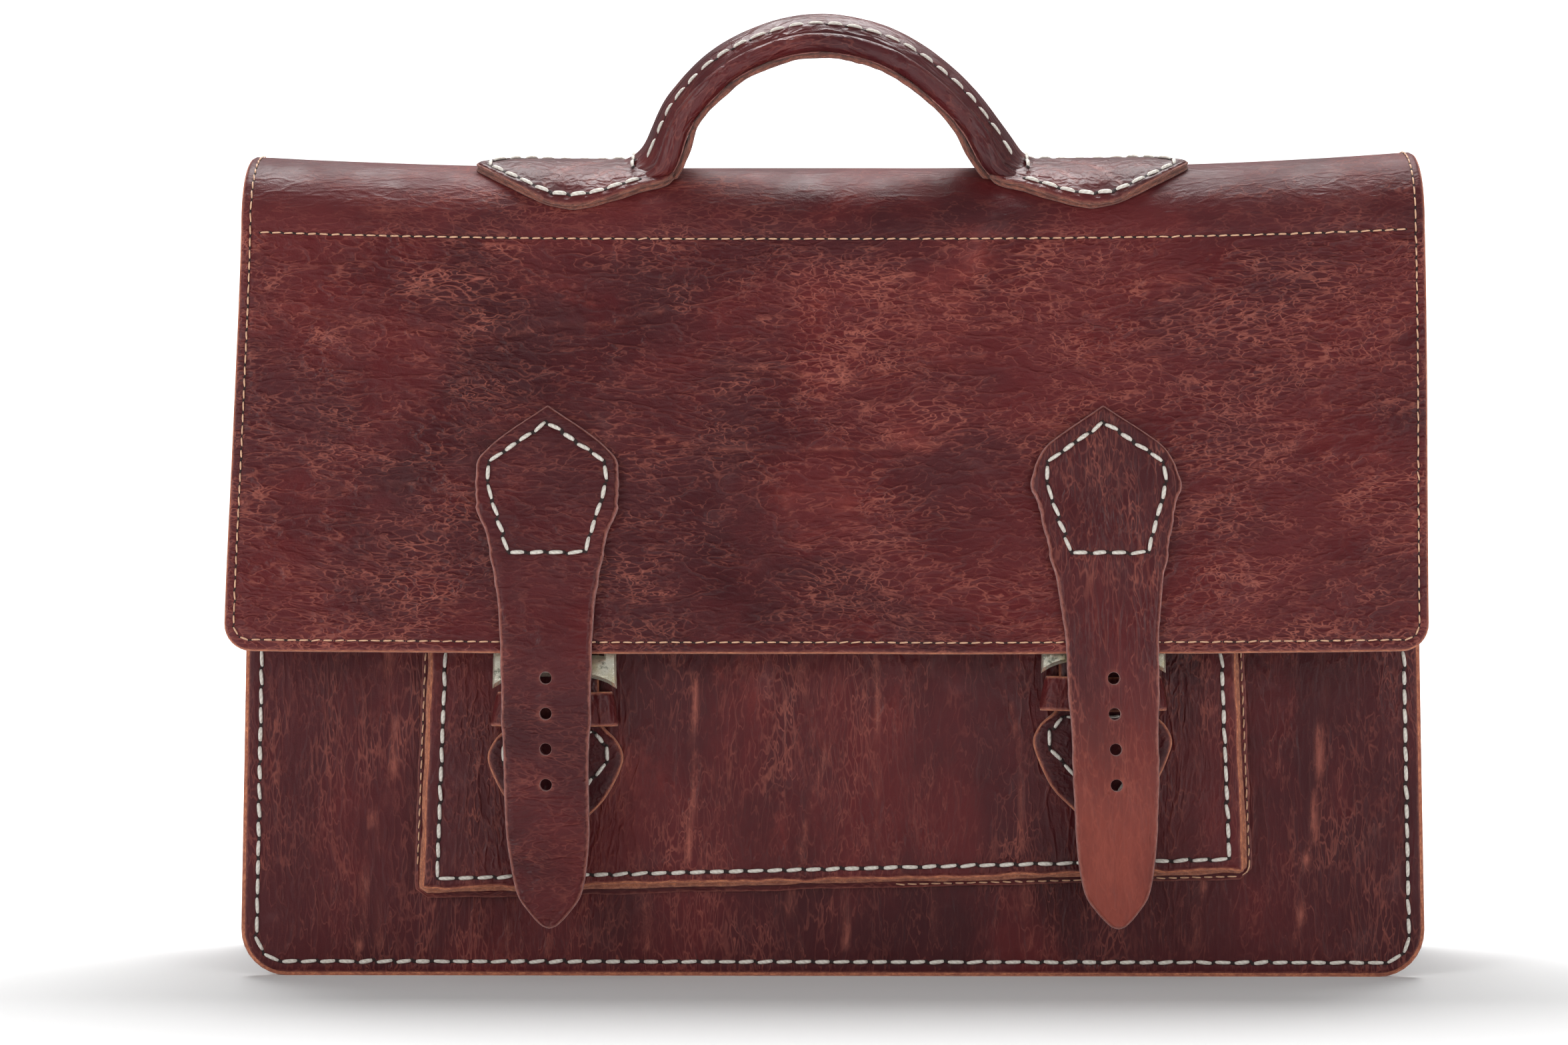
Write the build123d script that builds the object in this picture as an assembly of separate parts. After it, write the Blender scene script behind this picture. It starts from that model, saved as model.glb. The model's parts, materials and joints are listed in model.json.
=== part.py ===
from build123d import *
import os
from math import atan2, cos, radians, sin, tan

# Leather briefcase with a full-width flap, a rolled top handle, a patch pocket and two buckled
# straps. Millimetres. +X is the wearer-side right, -Y is the front, +Z is up.
# The model is built about the middle of the arched top and then shifted along Y, so that the
# origin lies under the middle of the whole box.

# ---- driving dimensions ------------------------------------------------------------------
CENTRE_SHIFT = 10.75           # moves the finished model back so its box is centred on Y = 0
GAP = 0.05                     # air between sewn layers
CUT = 0.1                      # air between two pieces that meet at a hinge line
SEAM_STOP = 2.5                # seams stop this far from a fold line

BODY_WIDTH = 410.0             # front and back panel at the bottom
BODY_TOP_WIDTH = 404.0         # front panel at its top edge
BODY_HALF_DEPTH = 45.0         # outer face of either panel at the bottom edge
FRONT_HEIGHT = 250.0
FOLD_HEIGHT = 257.0            # lines where the flap's top meets the back panel and the flap's front
CORNER_RADIUS = 15.0
LEATHER = 2.2
FOOT_TRIM = 0.2                # trimmed off both panels' lower edges to make them level

GUSSET_THICKNESS = 1.8
GUSSET_INSET = 9.0             # the gusset wall runs this far inside the panel edges
GUSSET_TOP = 246.0
FLANGE_SETBACK = 0.5

FLAP_WIDTH = 412.0
ARCH_HALF_DEPTH = 35.0         # outer semi-axes of the arched top
ARCH_RISE = 26.0
LINING = 1.2
STIFFENER = 1.5
STIFFENER_HALF_WIDTH = 22.0
STIFFENER_LENGTH = 300.0
FLAP_SLOPE = radians(11.0)     # the hanging flap leans out over the pocket and the buckles
FLAP_BOTTOM = 114.0
FLAP_CORNER_RADIUS = 9.0
FLAP_LEATHER = 2.0

POCKET_DEPTH = 7.5
POCKET_LEFT = -141.0           # pocket sides at the bottom
POCKET_RIGHT = 141.5
POCKET_TAPER = 4.5             # each side comes in by this much at the top
POCKET_TOP = 168.0
POCKET_BOTTOM_LEFT = 32.0      # the bottom edge rises to the right
POCKET_BOTTOM_RIGHT = 38.5
POCKET_CORNER = 1.5
POCKET_FLANGE = 6.5            # the gusset's flange shows this far outside the pocket

STRAP_THICKNESS = 3.5
STRAP_LIFT = 0.4               # the straps lie over the flap's fine border cord
STRAP_SEWN_END = 146.0         # below this height the strap hangs free
STRAP_BEND = 112.0             # just below the flap's edge the strap turns to hang plumb
HOLE_DIAMETER = 4.4
HOLE_PITCH = 12.15
HOLE_COUNT = 4
LOWEST_HOLE = 68.5

TAB_THICKNESS = 3.0
NECK_START = 88.0              # height where the left tab's free neck starts
NECK_HALF_WIDTH = 14.5
NECK_THICKNESS = 2.6
NECK_LIFT = 1.75               # the keeper's back passes between neck and pocket
BUCKLE_WIDTH = 42.4
BUCKLE_HEIGHT = 34.0
BUCKLE_WIRE = 3.6
BAR_HEIGHT = 118.4             # height of the left centre bar
BAR_DEPTH = 3.4                # centre bar above the pocket's face
BAR_RADIUS = 1.5
BAR_LOOP_RADIUS = 1.8          # inside of the leather fold round the bar
LOOP_LEATHER = 1.5
FRAME_LIFT = 2.5               # the outer frame bows above its centre bar
FRAME_UNDERCUT = 0.5           # the frame's wire is flat underneath
PRONG_RADIUS = 1.0
PRONG_NOTCH = 0.7              # depth of the notch the prong rests in
PRONG_RING_RADIUS = 3.0
PRONG_RING_WIDTH = 3.4
SLOT_WIDTH = 5.0
KEEPER_WIDTH = 40.4
KEEPER_HEIGHT = 11.0
KEEPER_LEATHER = 1.2
KEEPER_ROOM = 4.2              # room for the strap between neck and keeper
KEEPER_START = 0.9             # keeper above the tab's sewn part

HANDLE_BASE_Y = -13.0          # the handle stands on the front slope of the arch
HANDLE_LEAN = radians(11.0)
HANDLE_SWING = radians(15.5)   # relief under the grip's ends
GRIP_WIDTH = 23.0
GRIP_THICKNESS = 11.5
CORE_WIDTH = 15.0
CORE_THICKNESS = 5.5
UNDERSIDE_WIDTH = 19.0
UNDERSIDE_THICKNESS = 1.7
PAD_THICKNESS = 3.0
PAD_HALF_WIDTH = 22.5

THICK_THREAD = 1.4             # width of the heavy white cord
THIN_THREAD = 0.7              # width of the fine tan cord
THREAD_HEIGHT = 0.7
THIN_HEIGHT = 0.3              # the fine cord is nearly flush with the leather
BODY_SEAM_INSET = 5.0
POCKET_SEAM_INSET = 4.5
FLAP_SEAM_INSET = 3.3
SPADE_SEAM_INSET = 5.0

# Left and right closures: strap centre and tilt, tab centre, and how much higher the right
# buckle, keeper and tab sit than the left ones.
SIDES = {
    "left": dict(strap_x=-99.6, tilt=0.0, tab_x=-95.5, rise=0.0, tab_half=22.9, tab_length=38.5),
    "right": dict(strap_x=94.2, tilt=1.5, tab_x=93.3, rise=5.5, tab_half=23.4, tab_length=40.0),
}

# ---- frames ------------------------------------------------------------------------------
front_lean = atan2(BODY_HALF_DEPTH - ARCH_HALF_DEPTH + 4.5, FRONT_HEIGHT)
back_lean = atan2(BODY_HALF_DEPTH - ARCH_HALF_DEPTH, FOLD_HEIGHT)


def leaning_plane(y, z, lean):
    """Face that looks to the front. Its top leans back; local Z is outward, local Y is up."""
    return Plane(origin=(0, y, z), x_dir=(1, 0, 0), z_dir=(0, -cos(lean), sin(lean)))


FRONT = leaning_plane(-BODY_HALF_DEPTH, 0, front_lean)
BACK = Plane(origin=(0, BODY_HALF_DEPTH, 0), x_dir=(-1, 0, 0), z_dir=(0, cos(back_lean), sin(back_lean)))
FLAP = leaning_plane(-ARCH_HALF_DEPTH, FOLD_HEIGHT, FLAP_SLOPE)
flap_length = (FOLD_HEIGHT - FLAP_BOTTOM) / cos(FLAP_SLOPE)


def slab(plane, sketch, low, high):
    """Extrude a sketch between two heights above a plane."""
    return extrude(plane.offset(low) * sketch, amount=high - low)


def along_x(sketch, x_low, x_high):
    """Extrude a YZ section between two X positions."""
    return extrude(Plane.YZ.offset(x_low) * sketch, amount=x_high - x_low)


def inset(sketch, amount):
    return offset(sketch, amount=-amount, kind=Kind.ARC)


def closed_outline(half):
    """Face from the right half of a symmetric outline, given as corner points."""
    left = [(-x, y) for x, y in reversed(half) if x > 0]
    return make_face(Polyline(*half, *left, close=True))


def band(sketch, outer, inner):
    """Ring between two insets of an outline."""
    return inset(sketch, outer) - inset(sketch, inner)


def below(height, size=900):
    """Half plane below a height, for cutting outlines open at the top."""
    return Pos(0, height - size / 2) * Rectangle(size, size)


def cord(sketch, depth, width):
    """Seam line that runs inside an outline at a given inset."""
    return band(sketch, depth - width / 2, depth + width / 2)


def half_ellipse(shrink):
    """Section of the arched top, measured inward from its outer skin, in YZ."""
    upper = Pos(0, FOLD_HEIGHT + 100) * Rectangle(200, 200)
    oval = Pos(0, FOLD_HEIGHT) * Ellipse(ARCH_HALF_DEPTH - shrink, ARCH_RISE - shrink)
    return oval & upper


def arch_layer(outer, inner, x_low, x_high):
    """Layer of the arched top between two depths below its outer skin."""
    return along_x(half_ellipse(outer) - half_ellipse(inner), x_low, x_high)


# ---- body --------------------------------------------------------------------------------
def panel_outline(top_width, height):
    half, top = BODY_WIDTH / 2, top_width / 2
    outline = make_face(Polyline((-half, 0), (half, 0), (top, height), (-top, height), close=True))
    corners = outline.vertices().sort_by(Axis.Y)[:2]
    return fillet(corners, CORNER_RADIUS)


seam_outline = panel_outline(BODY_TOP_WIDTH - 1.0, FRONT_HEIGHT + 60)


def standing(panel):
    """Trim a leaning panel so that it stands on a level edge."""
    return panel - Box(900, 900, 50, align=(Align.CENTER, Align.CENTER, Align.MAX))


def front_panel():
    outline = Pos(0, -FOOT_TRIM) * panel_outline(BODY_TOP_WIDTH, FRONT_HEIGHT)
    return standing(slab(FRONT, outline, -LEATHER, 0))


def back_panel():
    height = FOLD_HEIGHT / cos(back_lean) + 2
    outline = Pos(0, -FOOT_TRIM) * panel_outline(FLAP_WIDTH, height)
    panel = standing(slab(BACK, outline, -LEATHER, 0))
    top = Box(FLAP_WIDTH + 10, 40, 40, align=(Align.CENTER, Align.CENTER, Align.MIN))
    return panel - Pos(0, BODY_HALF_DEPTH - 10, FOLD_HEIGHT - CUT) * top


def gusset():
    """U-shaped wall between the panels, with flanges that turn out to the panel edges."""
    cut = below(GUSSET_TOP)
    wall_ring = band(seam_outline, GUSSET_INSET, GUSSET_INSET + GUSSET_THICKNESS) & cut
    wall = extrude(Plane.XZ.offset(-100) * wall_ring, amount=200)
    skin = LEATHER + GAP
    reach = 300
    front_low = -BODY_HALF_DEPTH + skin / cos(front_lean)
    back_low = BODY_HALF_DEPTH - skin / cos(back_lean)
    wedge = make_face(Polyline(
        (front_low, 0), (back_low, 0),
        (back_low - reach * tan(back_lean), reach), (front_low + reach * tan(front_lean), reach),
        close=True))
    wall &= along_x(wedge, -BODY_WIDTH, BODY_WIDTH)
    flange_ring = band(seam_outline, FLANGE_SETBACK, GUSSET_INSET + GUSSET_THICKNESS) & cut
    result = wall
    for plane in (FRONT, BACK):
        result += slab(plane, flange_ring, -skin - GUSSET_THICKNESS, -skin)
    return result


def body_seam(plane):
    ring = cord(seam_outline, BODY_SEAM_INSET, THICK_THREAD) & below(GUSSET_TOP)
    return slab(plane, ring, GAP, GAP + THREAD_HEIGHT)


# ---- pocket ------------------------------------------------------------------------------
def pocket_outline(top):
    """Pocket front. The sides come in towards the top, and the bottom edge rises to the right."""
    run = POCKET_TAPER * (top - POCKET_BOTTOM_LEFT) / (POCKET_TOP - POCKET_BOTTOM_LEFT)
    outline = make_face(Polyline(
        (POCKET_LEFT, POCKET_BOTTOM_LEFT), (POCKET_RIGHT, POCKET_BOTTOM_RIGHT),
        (POCKET_RIGHT - run, top), (POCKET_LEFT + run, top), close=True))
    corners = outline.vertices().sort_by(Axis.Y)[:2]
    return fillet(corners, POCKET_CORNER)


def pocket_front():
    return slab(FRONT, pocket_outline(POCKET_TOP), POCKET_DEPTH - LEATHER, POCKET_DEPTH)


def pocket_gusset():
    """Narrow wall under the pocket's edge, with a flange that is sewn to the front panel."""
    outline = pocket_outline(POCKET_TOP + 60)
    cut = below(POCKET_TOP - 4)
    wall = band(outline, 0.3, 0.3 + GUSSET_THICKNESS) & cut
    flange = (offset(outline, amount=POCKET_FLANGE, kind=Kind.ARC) - inset(outline, 1.0)) & cut
    roof = POCKET_DEPTH - LEATHER - GAP
    return slab(FRONT, wall, GAP, roof) + slab(FRONT, flange, GAP, GAP + GUSSET_THICKNESS)


def pocket_seam_thread():
    ring = cord(pocket_outline(POCKET_TOP + 60), POCKET_SEAM_INSET, THICK_THREAD) & below(POCKET_TOP - 3)
    return slab(FRONT, ring, POCKET_DEPTH + GAP, POCKET_DEPTH + GAP + THREAD_HEIGHT)


def pocket_flange_thread():
    outline = pocket_outline(POCKET_TOP + 60)
    middle = POCKET_FLANGE * 0.6
    ring = offset(outline, amount=middle + THIN_THREAD / 2) - offset(outline, amount=middle - THIN_THREAD / 2)
    low = GAP + GUSSET_THICKNESS + GAP
    return slab(FRONT, ring & below(POCKET_TOP - 5), low, low + THIN_HEIGHT)


# ---- flap --------------------------------------------------------------------------------
def flap_outline(width):
    half = width / 2
    outline = make_face(Polyline(
        (-half, -flap_length), (half, -flap_length), (half, -CUT), (-half, -CUT), close=True))
    corners = outline.vertices().sort_by(Axis.Y)[:2]
    return fillet(corners, FLAP_CORNER_RADIUS)


def flap_front_panel():
    return slab(FLAP, flap_outline(FLAP_WIDTH), -FLAP_LEATHER, 0)


def flap_front_lining():
    return slab(FLAP, inset(flap_outline(FLAP_WIDTH), 0.4), -FLAP_LEATHER - GAP - LINING, -FLAP_LEATHER - GAP)


def flap_edge_thread():
    half = FLAP_WIDTH / 2
    outline = make_face(Polyline(
        (-half, -flap_length), (half, -flap_length), (half, 60), (-half, 60), close=True))
    outline = fillet(outline.vertices().sort_by(Axis.Y)[:2], FLAP_CORNER_RADIUS)
    ring = cord(outline, FLAP_SEAM_INSET, THIN_THREAD) & below(-SEAM_STOP)
    return slab(FLAP, ring, GAP, GAP + THIN_HEIGHT)


def flap_cross_thread():
    """Thin seam across the flap just below the fold line."""
    length = FLAP_WIDTH - 2 * FLAP_SEAM_INSET - 3
    line = Pos(0, -SEAM_STOP) * Rectangle(length, THIN_THREAD)
    return slab(FLAP, line, GAP, GAP + THIN_HEIGHT)


def flap_top_panel():
    return arch_layer(0, LEATHER, -FLAP_WIDTH / 2, FLAP_WIDTH / 2)


def flap_top_lining():
    start = LEATHER + STIFFENER + 2 * GAP
    half = FLAP_WIDTH / 2 - 0.5
    return arch_layer(start, start + LINING, -half, half)


def handle_stiffener():
    half = STIFFENER_LENGTH / 2
    layer = arch_layer(LEATHER + GAP, LEATHER + GAP + STIFFENER, -half, half)
    return layer & Pos(0, 0, FOLD_HEIGHT) * Box(STIFFENER_LENGTH, 2 * STIFFENER_HALF_WIDTH, 100)


def top_edge_thread():
    """Thin border seam that runs over the arch near both of its ends."""
    centre = FLAP_WIDTH / 2 - FLAP_SEAM_INSET
    low, high = centre - THIN_THREAD / 2, centre + THIN_THREAD / 2
    clear = Pos(0, FOLD_HEIGHT + SEAM_STOP + 50) * Rectangle(200, 100)
    ring = (half_ellipse(-GAP - THIN_HEIGHT) - half_ellipse(-GAP)) & clear
    return Compound([along_x(ring, low, high), along_x(ring, -high, -low)])


# ---- straps ------------------------------------------------------------------------------
def strap_edge():
    """Half outline of a strap: (half width, height), from the spade's point to the tip."""
    point = Line((0, 198.7), (19.8, 184.5))
    shoulder = ThreePointArc((19.8, 184.5), (24.0, 178.8), (25.0, 172.0))
    waist = Spline((25.0, 172.0), (22.3, 157.5), (17.0, 137.0), (15.2, 112.0), tangents=((0, -1), (0, -1)))
    blade = Line((15.2, 112.0), (14.0, 50.0))
    tip = Spline((14.0, 50.0), (11.2, 33.0), (0.0, 19.8), tangents=((-0.03, -1), (-1, -0.15)))
    return point + shoulder + waist + blade + tip


def on_strap(side, sketch):
    """Place a sketch that is drawn about a strap's centre line."""
    return Pos(side["strap_x"], STRAP_SEWN_END) * Rot(0, 0, side["tilt"]) * Pos(0, -STRAP_SEWN_END) * sketch


def strap_outline(side):
    edge = strap_edge()
    return on_strap(side, make_face(edge + mirror(edge, about=Plane.YZ)))


def on_flap(height):
    """Local flap coordinate of a point of the flap's outer face at a given height."""
    return (height - FOLD_HEIGHT) / cos(FLAP_SLOPE)


FLAP_SHIFT = Pos(0, on_flap(STRAP_SEWN_END) - STRAP_SEWN_END)    # from heights to flap coordinates


def strap_anchor(side):
    upper = Pos(0, on_flap(STRAP_SEWN_END) + CUT + 100) * Rectangle(900, 200)
    outline = FLAP_SHIFT * strap_outline(side)
    return slab(FLAP, outline & upper, STRAP_LIFT, STRAP_LIFT + STRAP_THICKNESS)


def strap_thread(side):
    pentagon = closed_outline(((0, 193.0), (20.0, 179.0), (20.4, 171.5), (13.2, 147.5)))
    low = STRAP_LIFT + STRAP_THICKNESS + GAP
    return slab(FLAP, FLAP_SHIFT * on_strap(side, cord(pentagon, 0, THICK_THREAD)), low, low + THREAD_HEIGHT)


def tongue_section():
    """Side view of the hanging strap: along the flap first, then plumb."""
    def skin(height, away):
        y = -ARCH_HALF_DEPTH - (FOLD_HEIGHT - height) * tan(FLAP_SLOPE)
        return y - away * cos(FLAP_SLOPE), height + away * sin(FLAP_SLOPE)

    top = STRAP_SEWN_END
    inner_top, outer_top = skin(top, STRAP_LIFT), skin(top, STRAP_LIFT + STRAP_THICKNESS)
    inner_bend = skin(STRAP_BEND, STRAP_LIFT)
    half_turn = tan(FLAP_SLOPE / 2)
    outer_bend = (inner_bend[0] - STRAP_THICKNESS, inner_bend[1] + STRAP_THICKNESS * half_turn)
    return make_face(Polyline(
        inner_top, inner_bend, (inner_bend[0], 0), (outer_bend[0], 0), outer_bend, outer_top, close=True))


def strap_tongue(side):
    reach = 100
    tongue = extrude(Plane.XZ.offset(-reach) * strap_outline(side), amount=2 * reach)
    middle = side["strap_x"]
    tongue &= along_x(tongue_section(), middle - 40, middle + 40)
    slope = tan(radians(side["tilt"]))
    for index in range(HOLE_COUNT):
        z = LOWEST_HOLE + index * HOLE_PITCH
        x = middle + (STRAP_SEWN_END - z) * slope
        tongue -= Pos(x, -60, z) * Rot(90, 0, 0) * Cylinder(HOLE_DIAMETER / 2, 40)
    return tongue


# ---- tabs, keepers and buckles ----------------------------------------------------------
POCKET_FACE = FRONT.offset(POCKET_DEPTH)


def neck_start(side):
    """Height where a tab's sewn spade ends and its free neck begins."""
    return NECK_START + side["rise"]


def bar_height(side):
    return BAR_HEIGHT + side["rise"]


def tab_outline(side):
    """Spade that points down, below the neck."""
    top = neck_start(side) - CUT
    widest = top - 11.5
    tip = top - side["tab_length"]
    half = side["tab_half"]
    shoulder = Spline((NECK_HALF_WIDTH, top), (NECK_HALF_WIDTH + 4.6, top - 4.2), (half, widest),
                      tangents=((0.15, -1), (0.1, -1)))
    leaf = Spline((half, widest), (half * 0.58, widest - 14.5), (0, tip), tangents=((-0.1, -1), (-1, -0.55)))
    edge = shoulder + leaf
    closing = Line((NECK_HALF_WIDTH, top), (-NECK_HALF_WIDTH, top))
    return Pos(side["tab_x"], 0) * make_face(edge + mirror(edge, about=Plane.YZ) + closing)


def buckle_tab(side):
    return slab(POCKET_FACE, tab_outline(side), GAP, GAP + TAB_THICKNESS)


def tab_thread(side):
    top, half = neck_start(side), side["tab_half"] - SPADE_SEAM_INSET
    pentagon = closed_outline((
        (NECK_HALF_WIDTH - 1, top - 2.5), (half, top - 9.5), (half, top - 14), (0, top - side["tab_length"] + 7)))
    ring = Pos(side["tab_x"], 0) * cord(pentagon, 0, THICK_THREAD)
    low = 2 * GAP + TAB_THICKNESS
    return slab(POCKET_FACE, ring, low, low + THREAD_HEIGHT)


def bar_rod(side, radius, length):
    """Cylinder along a centre bar."""
    centre = POCKET_FACE.from_local_coords((side["tab_x"], bar_height(side), BAR_DEPTH))
    return Plane(origin=centre, x_dir=POCKET_FACE.y_dir, z_dir=(1, 0, 0)) * Cylinder(radius, length)


def tab_neck(side):
    """Free strip of the tab, folded round the centre bar, with a slot for the prong."""
    bottom, top = neck_start(side), bar_height(side)
    strip = Pos(side["tab_x"], (bottom + top) / 2) * Rectangle(2 * NECK_HALF_WIDTH, top - bottom)
    neck = slab(POCKET_FACE, strip, NECK_LIFT, NECK_LIFT + NECK_THICKNESS)
    neck += bar_rod(side, BAR_LOOP_RADIUS + LOOP_LEATHER, 2 * NECK_HALF_WIDTH)
    neck -= bar_rod(side, BAR_LOOP_RADIUS, 2 * NECK_HALF_WIDTH + 2)
    slot_low, slot_high = top - 9, top + 10
    slot = RectangleRounded(SLOT_WIDTH, slot_high - slot_low, SLOT_WIDTH / 2 - 0.1)
    slot = Pos(side["tab_x"], (slot_low + slot_high) / 2) * slot
    return neck - slab(POCKET_FACE, slot, -2, 20)


def buckle_frame(side):
    """Rounded wire frame that bows over the strap, with a straight bar across its middle."""
    x, middle = side["tab_x"], bar_height(side)
    crown = BAR_DEPTH + FRAME_LIFT + BUCKLE_WIRE / 2
    outer = RectangleRounded(BUCKLE_WIDTH, BUCKLE_HEIGHT, 6.5)
    inner = RectangleRounded(BUCKLE_WIDTH - 2 * BUCKLE_WIRE, BUCKLE_HEIGHT - 2 * BUCKLE_WIRE, 3.4)
    ring = Pos(x, middle) * (outer - inner)
    frame = slab(POCKET_FACE, ring, crown - BUCKLE_WIRE + FRAME_UNDERCUT, crown)
    rims = [e for e in frame.edges() if abs(POCKET_FACE.to_local_coords(e.center()).Z - crown) < 0.01]
    frame = fillet(rims, 1.2)
    rail = (BUCKLE_WIDTH - BUCKLE_WIRE) / 2
    for rail_x in (-rail, rail):
        cheek = Pos(x + rail_x, middle) * RectangleRounded(BUCKLE_WIRE, 7.5, 1.5)
        frame += slab(POCKET_FACE, cheek, BAR_DEPTH - BAR_RADIUS, crown - BUCKLE_WIRE / 2)
    notch = Pos(x, middle + BUCKLE_HEIGHT / 2) * Rectangle(2 * PRONG_RADIUS + 0.4, 3 * BUCKLE_WIRE)
    frame -= slab(POCKET_FACE, notch, crown - PRONG_NOTCH, crown + 1)
    return frame + bar_rod(side, BAR_RADIUS, 2 * rail)


def prong(side):
    """Ring on the centre bar with a pin that reaches over the top of the frame."""
    ring = bar_rod(side, PRONG_RING_RADIUS, PRONG_RING_WIDTH)
    ring -= bar_rod(side, BAR_RADIUS + 0.15, PRONG_RING_WIDTH + 1)
    crown = BAR_DEPTH + FRAME_LIFT + BUCKLE_WIRE / 2
    rest = crown - PRONG_NOTCH + PRONG_RADIUS + 0.05
    x, bar = side["tab_x"], bar_height(side)
    base, knee, tip = bar + PRONG_RING_RADIUS - 0.8, bar + 9.5, bar + BUCKLE_HEIGHT / 2 + 1.0
    path = Polyline(*[POCKET_FACE.from_local_coords(point) for point in (
        (x, base, BAR_DEPTH + 0.8), (x, knee, rest), (x, tip, rest))])
    start = Plane(origin=path @ 0, z_dir=path % 0)
    return ring + sweep(start * Circle(PRONG_RADIUS), path=path, transition=Transition.ROUND)


def keeper(side):
    """Closed leather loop round the neck, with room for the strap."""
    low = 0.15
    high = NECK_LIFT + NECK_THICKNESS + KEEPER_ROOM + KEEPER_LEATHER
    depth = high - low
    outer = RectangleRounded(KEEPER_WIDTH, depth, 3.0)
    hollow = RectangleRounded(KEEPER_WIDTH - 2 * KEEPER_LEATHER, depth - 2 * KEEPER_LEATHER, 3.0 - KEEPER_LEATHER)
    start = (side["tab_x"], neck_start(side) + KEEPER_START, (low + high) / 2)
    section = Plane(origin=POCKET_FACE.from_local_coords(start), x_dir=(1, 0, 0), z_dir=POCKET_FACE.y_dir)
    return extrude(section * (outer - hollow), amount=KEEPER_HEIGHT)


# ---- handle ------------------------------------------------------------------------------
def arch_height(y, away=0.0):
    """Height of the arch's outer skin, or of a surface that lies above it, at a given Y."""
    a, b = ARCH_HALF_DEPTH + away, ARCH_RISE + away
    return FOLD_HEIGHT + b * (1 - (y / a) ** 2) ** 0.5


pad_slope = atan2(ARCH_RISE ** 2 * -HANDLE_BASE_Y, ARCH_HALF_DEPTH ** 2 * (arch_height(HANDLE_BASE_Y) - FOLD_HEIGHT))
PAD_BASE = Plane(origin=(0, HANDLE_BASE_Y, arch_height(HANDLE_BASE_Y)), x_dir=(1, 0, 0),
                 z_dir=(0, -sin(pad_slope), cos(pad_slope)))
HANDLE_FOOT = PAD_BASE.from_local_coords((0, 0, PAD_THICKNESS + 0.7))
HANDLE = Plane(origin=HANDLE_FOOT, x_dir=(1, 0, 0), z_dir=(0, -cos(HANDLE_LEAN), -sin(HANDLE_LEAN)))

GRIP_LINE = ((-62.5, -6), (-61.0, 3), (-52.5, 20), (-35, 36.5), (-8, 45.5), (20, 40.5),
             (43, 24), (59.5, 3), (61.5, -6))


def pad_outline():
    """Leaf for the left end: pointed outside, narrowing into the grip's root inside."""
    edge = (
        Spline((-125, 0), (-109, 15.5), (-92, PAD_HALF_WIDTH), (-66, 15.0), (-57, 12.5),
               tangents=((0.55, 1), (1, -0.1)))
        + ThreePointArc((-57, 12.5), (-50.5, 9), (-48, 0))
    )
    return make_face(edge + mirror(edge, about=Plane.XZ))


def over_arch(sketch, low, high):
    """Layer that follows the arch between two heights above it, cut to an outline on the pad's plane."""
    shell = along_x(half_ellipse(-high) - half_ellipse(-low), -FLAP_WIDTH / 2, FLAP_WIDTH / 2)
    return slab(PAD_BASE, sketch, -25, 12) & shell


def mirrored(outline, name):
    return mirror(outline, about=Plane.YZ) if name == "right" else outline


def handle_pad(name):
    return over_arch(mirrored(pad_outline(), name), GAP, GAP + PAD_THICKNESS)


def pad_thread(name):
    low = 2 * GAP + PAD_THICKNESS
    leaf = make_face(Polyline((-118, 0), (-107, 11.5), (-92, 17.5), (-73, 12.5), (-73, -12.5), (-92, -17.5),
                              (-107, -11.5), close=True))
    return over_arch(mirrored(cord(leaf, 0, THICK_THREAD), name), low, low + THREAD_HEIGHT)


def grip_path():
    return Spline(*[HANDLE.from_local_coords((x, up, 0)) for x, up in GRIP_LINE])


def grip_section(path, sketch):
    """Place a cross-section at the path's start: local X is across the grip, local Y points inward."""
    start = Plane(origin=path @ 0, x_dir=HANDLE.z_dir, z_dir=path % 0)
    return start * sketch


def swing_relief():
    """Space above the pads that the grip's ends keep to while the handle swings."""
    foot_y, foot_z = HANDLE_FOOT.Y, HANDLE_FOOT.Z
    front = pad_slope - HANDLE_SWING
    back = pad_slope + HANDLE_SWING
    reach = 120
    space = make_face(Polyline(
        (foot_y, foot_z), (foot_y - reach * cos(front), foot_z - reach * sin(front)),
        (foot_y - reach, foot_z + reach), (foot_y + reach, foot_z + reach + 60),
        (foot_y + reach * cos(back), foot_z + reach * sin(back)), close=True))
    return along_x(space, -FLAP_WIDTH / 2, FLAP_WIDTH / 2)


def grip_layer(sketch):
    path = grip_path()
    return sweep(grip_section(path, sketch), path=path) & swing_relief()


def handle_cover():
    outer = RectangleRounded(GRIP_WIDTH, GRIP_THICKNESS, 5.4)
    hollow = Ellipse(CORE_WIDTH / 2 + GAP, CORE_THICKNESS / 2 + GAP)
    return grip_layer(outer - hollow)


def handle_core():
    return grip_layer(Ellipse(CORE_WIDTH / 2, CORE_THICKNESS / 2))


def handle_underside():
    depth = GRIP_THICKNESS / 2 + GAP + UNDERSIDE_THICKNESS / 2
    strip = Pos(0, depth) * Rectangle(UNDERSIDE_WIDTH, UNDERSIDE_THICKNESS)
    return grip_layer(strip)


def handle_thread():
    height = GRIP_THICKNESS / 2 + GAP + THREAD_HEIGHT / 2
    line = Pos(0, -height) * Rectangle(THICK_THREAD, THREAD_HEIGHT)
    return grip_layer(line)


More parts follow.
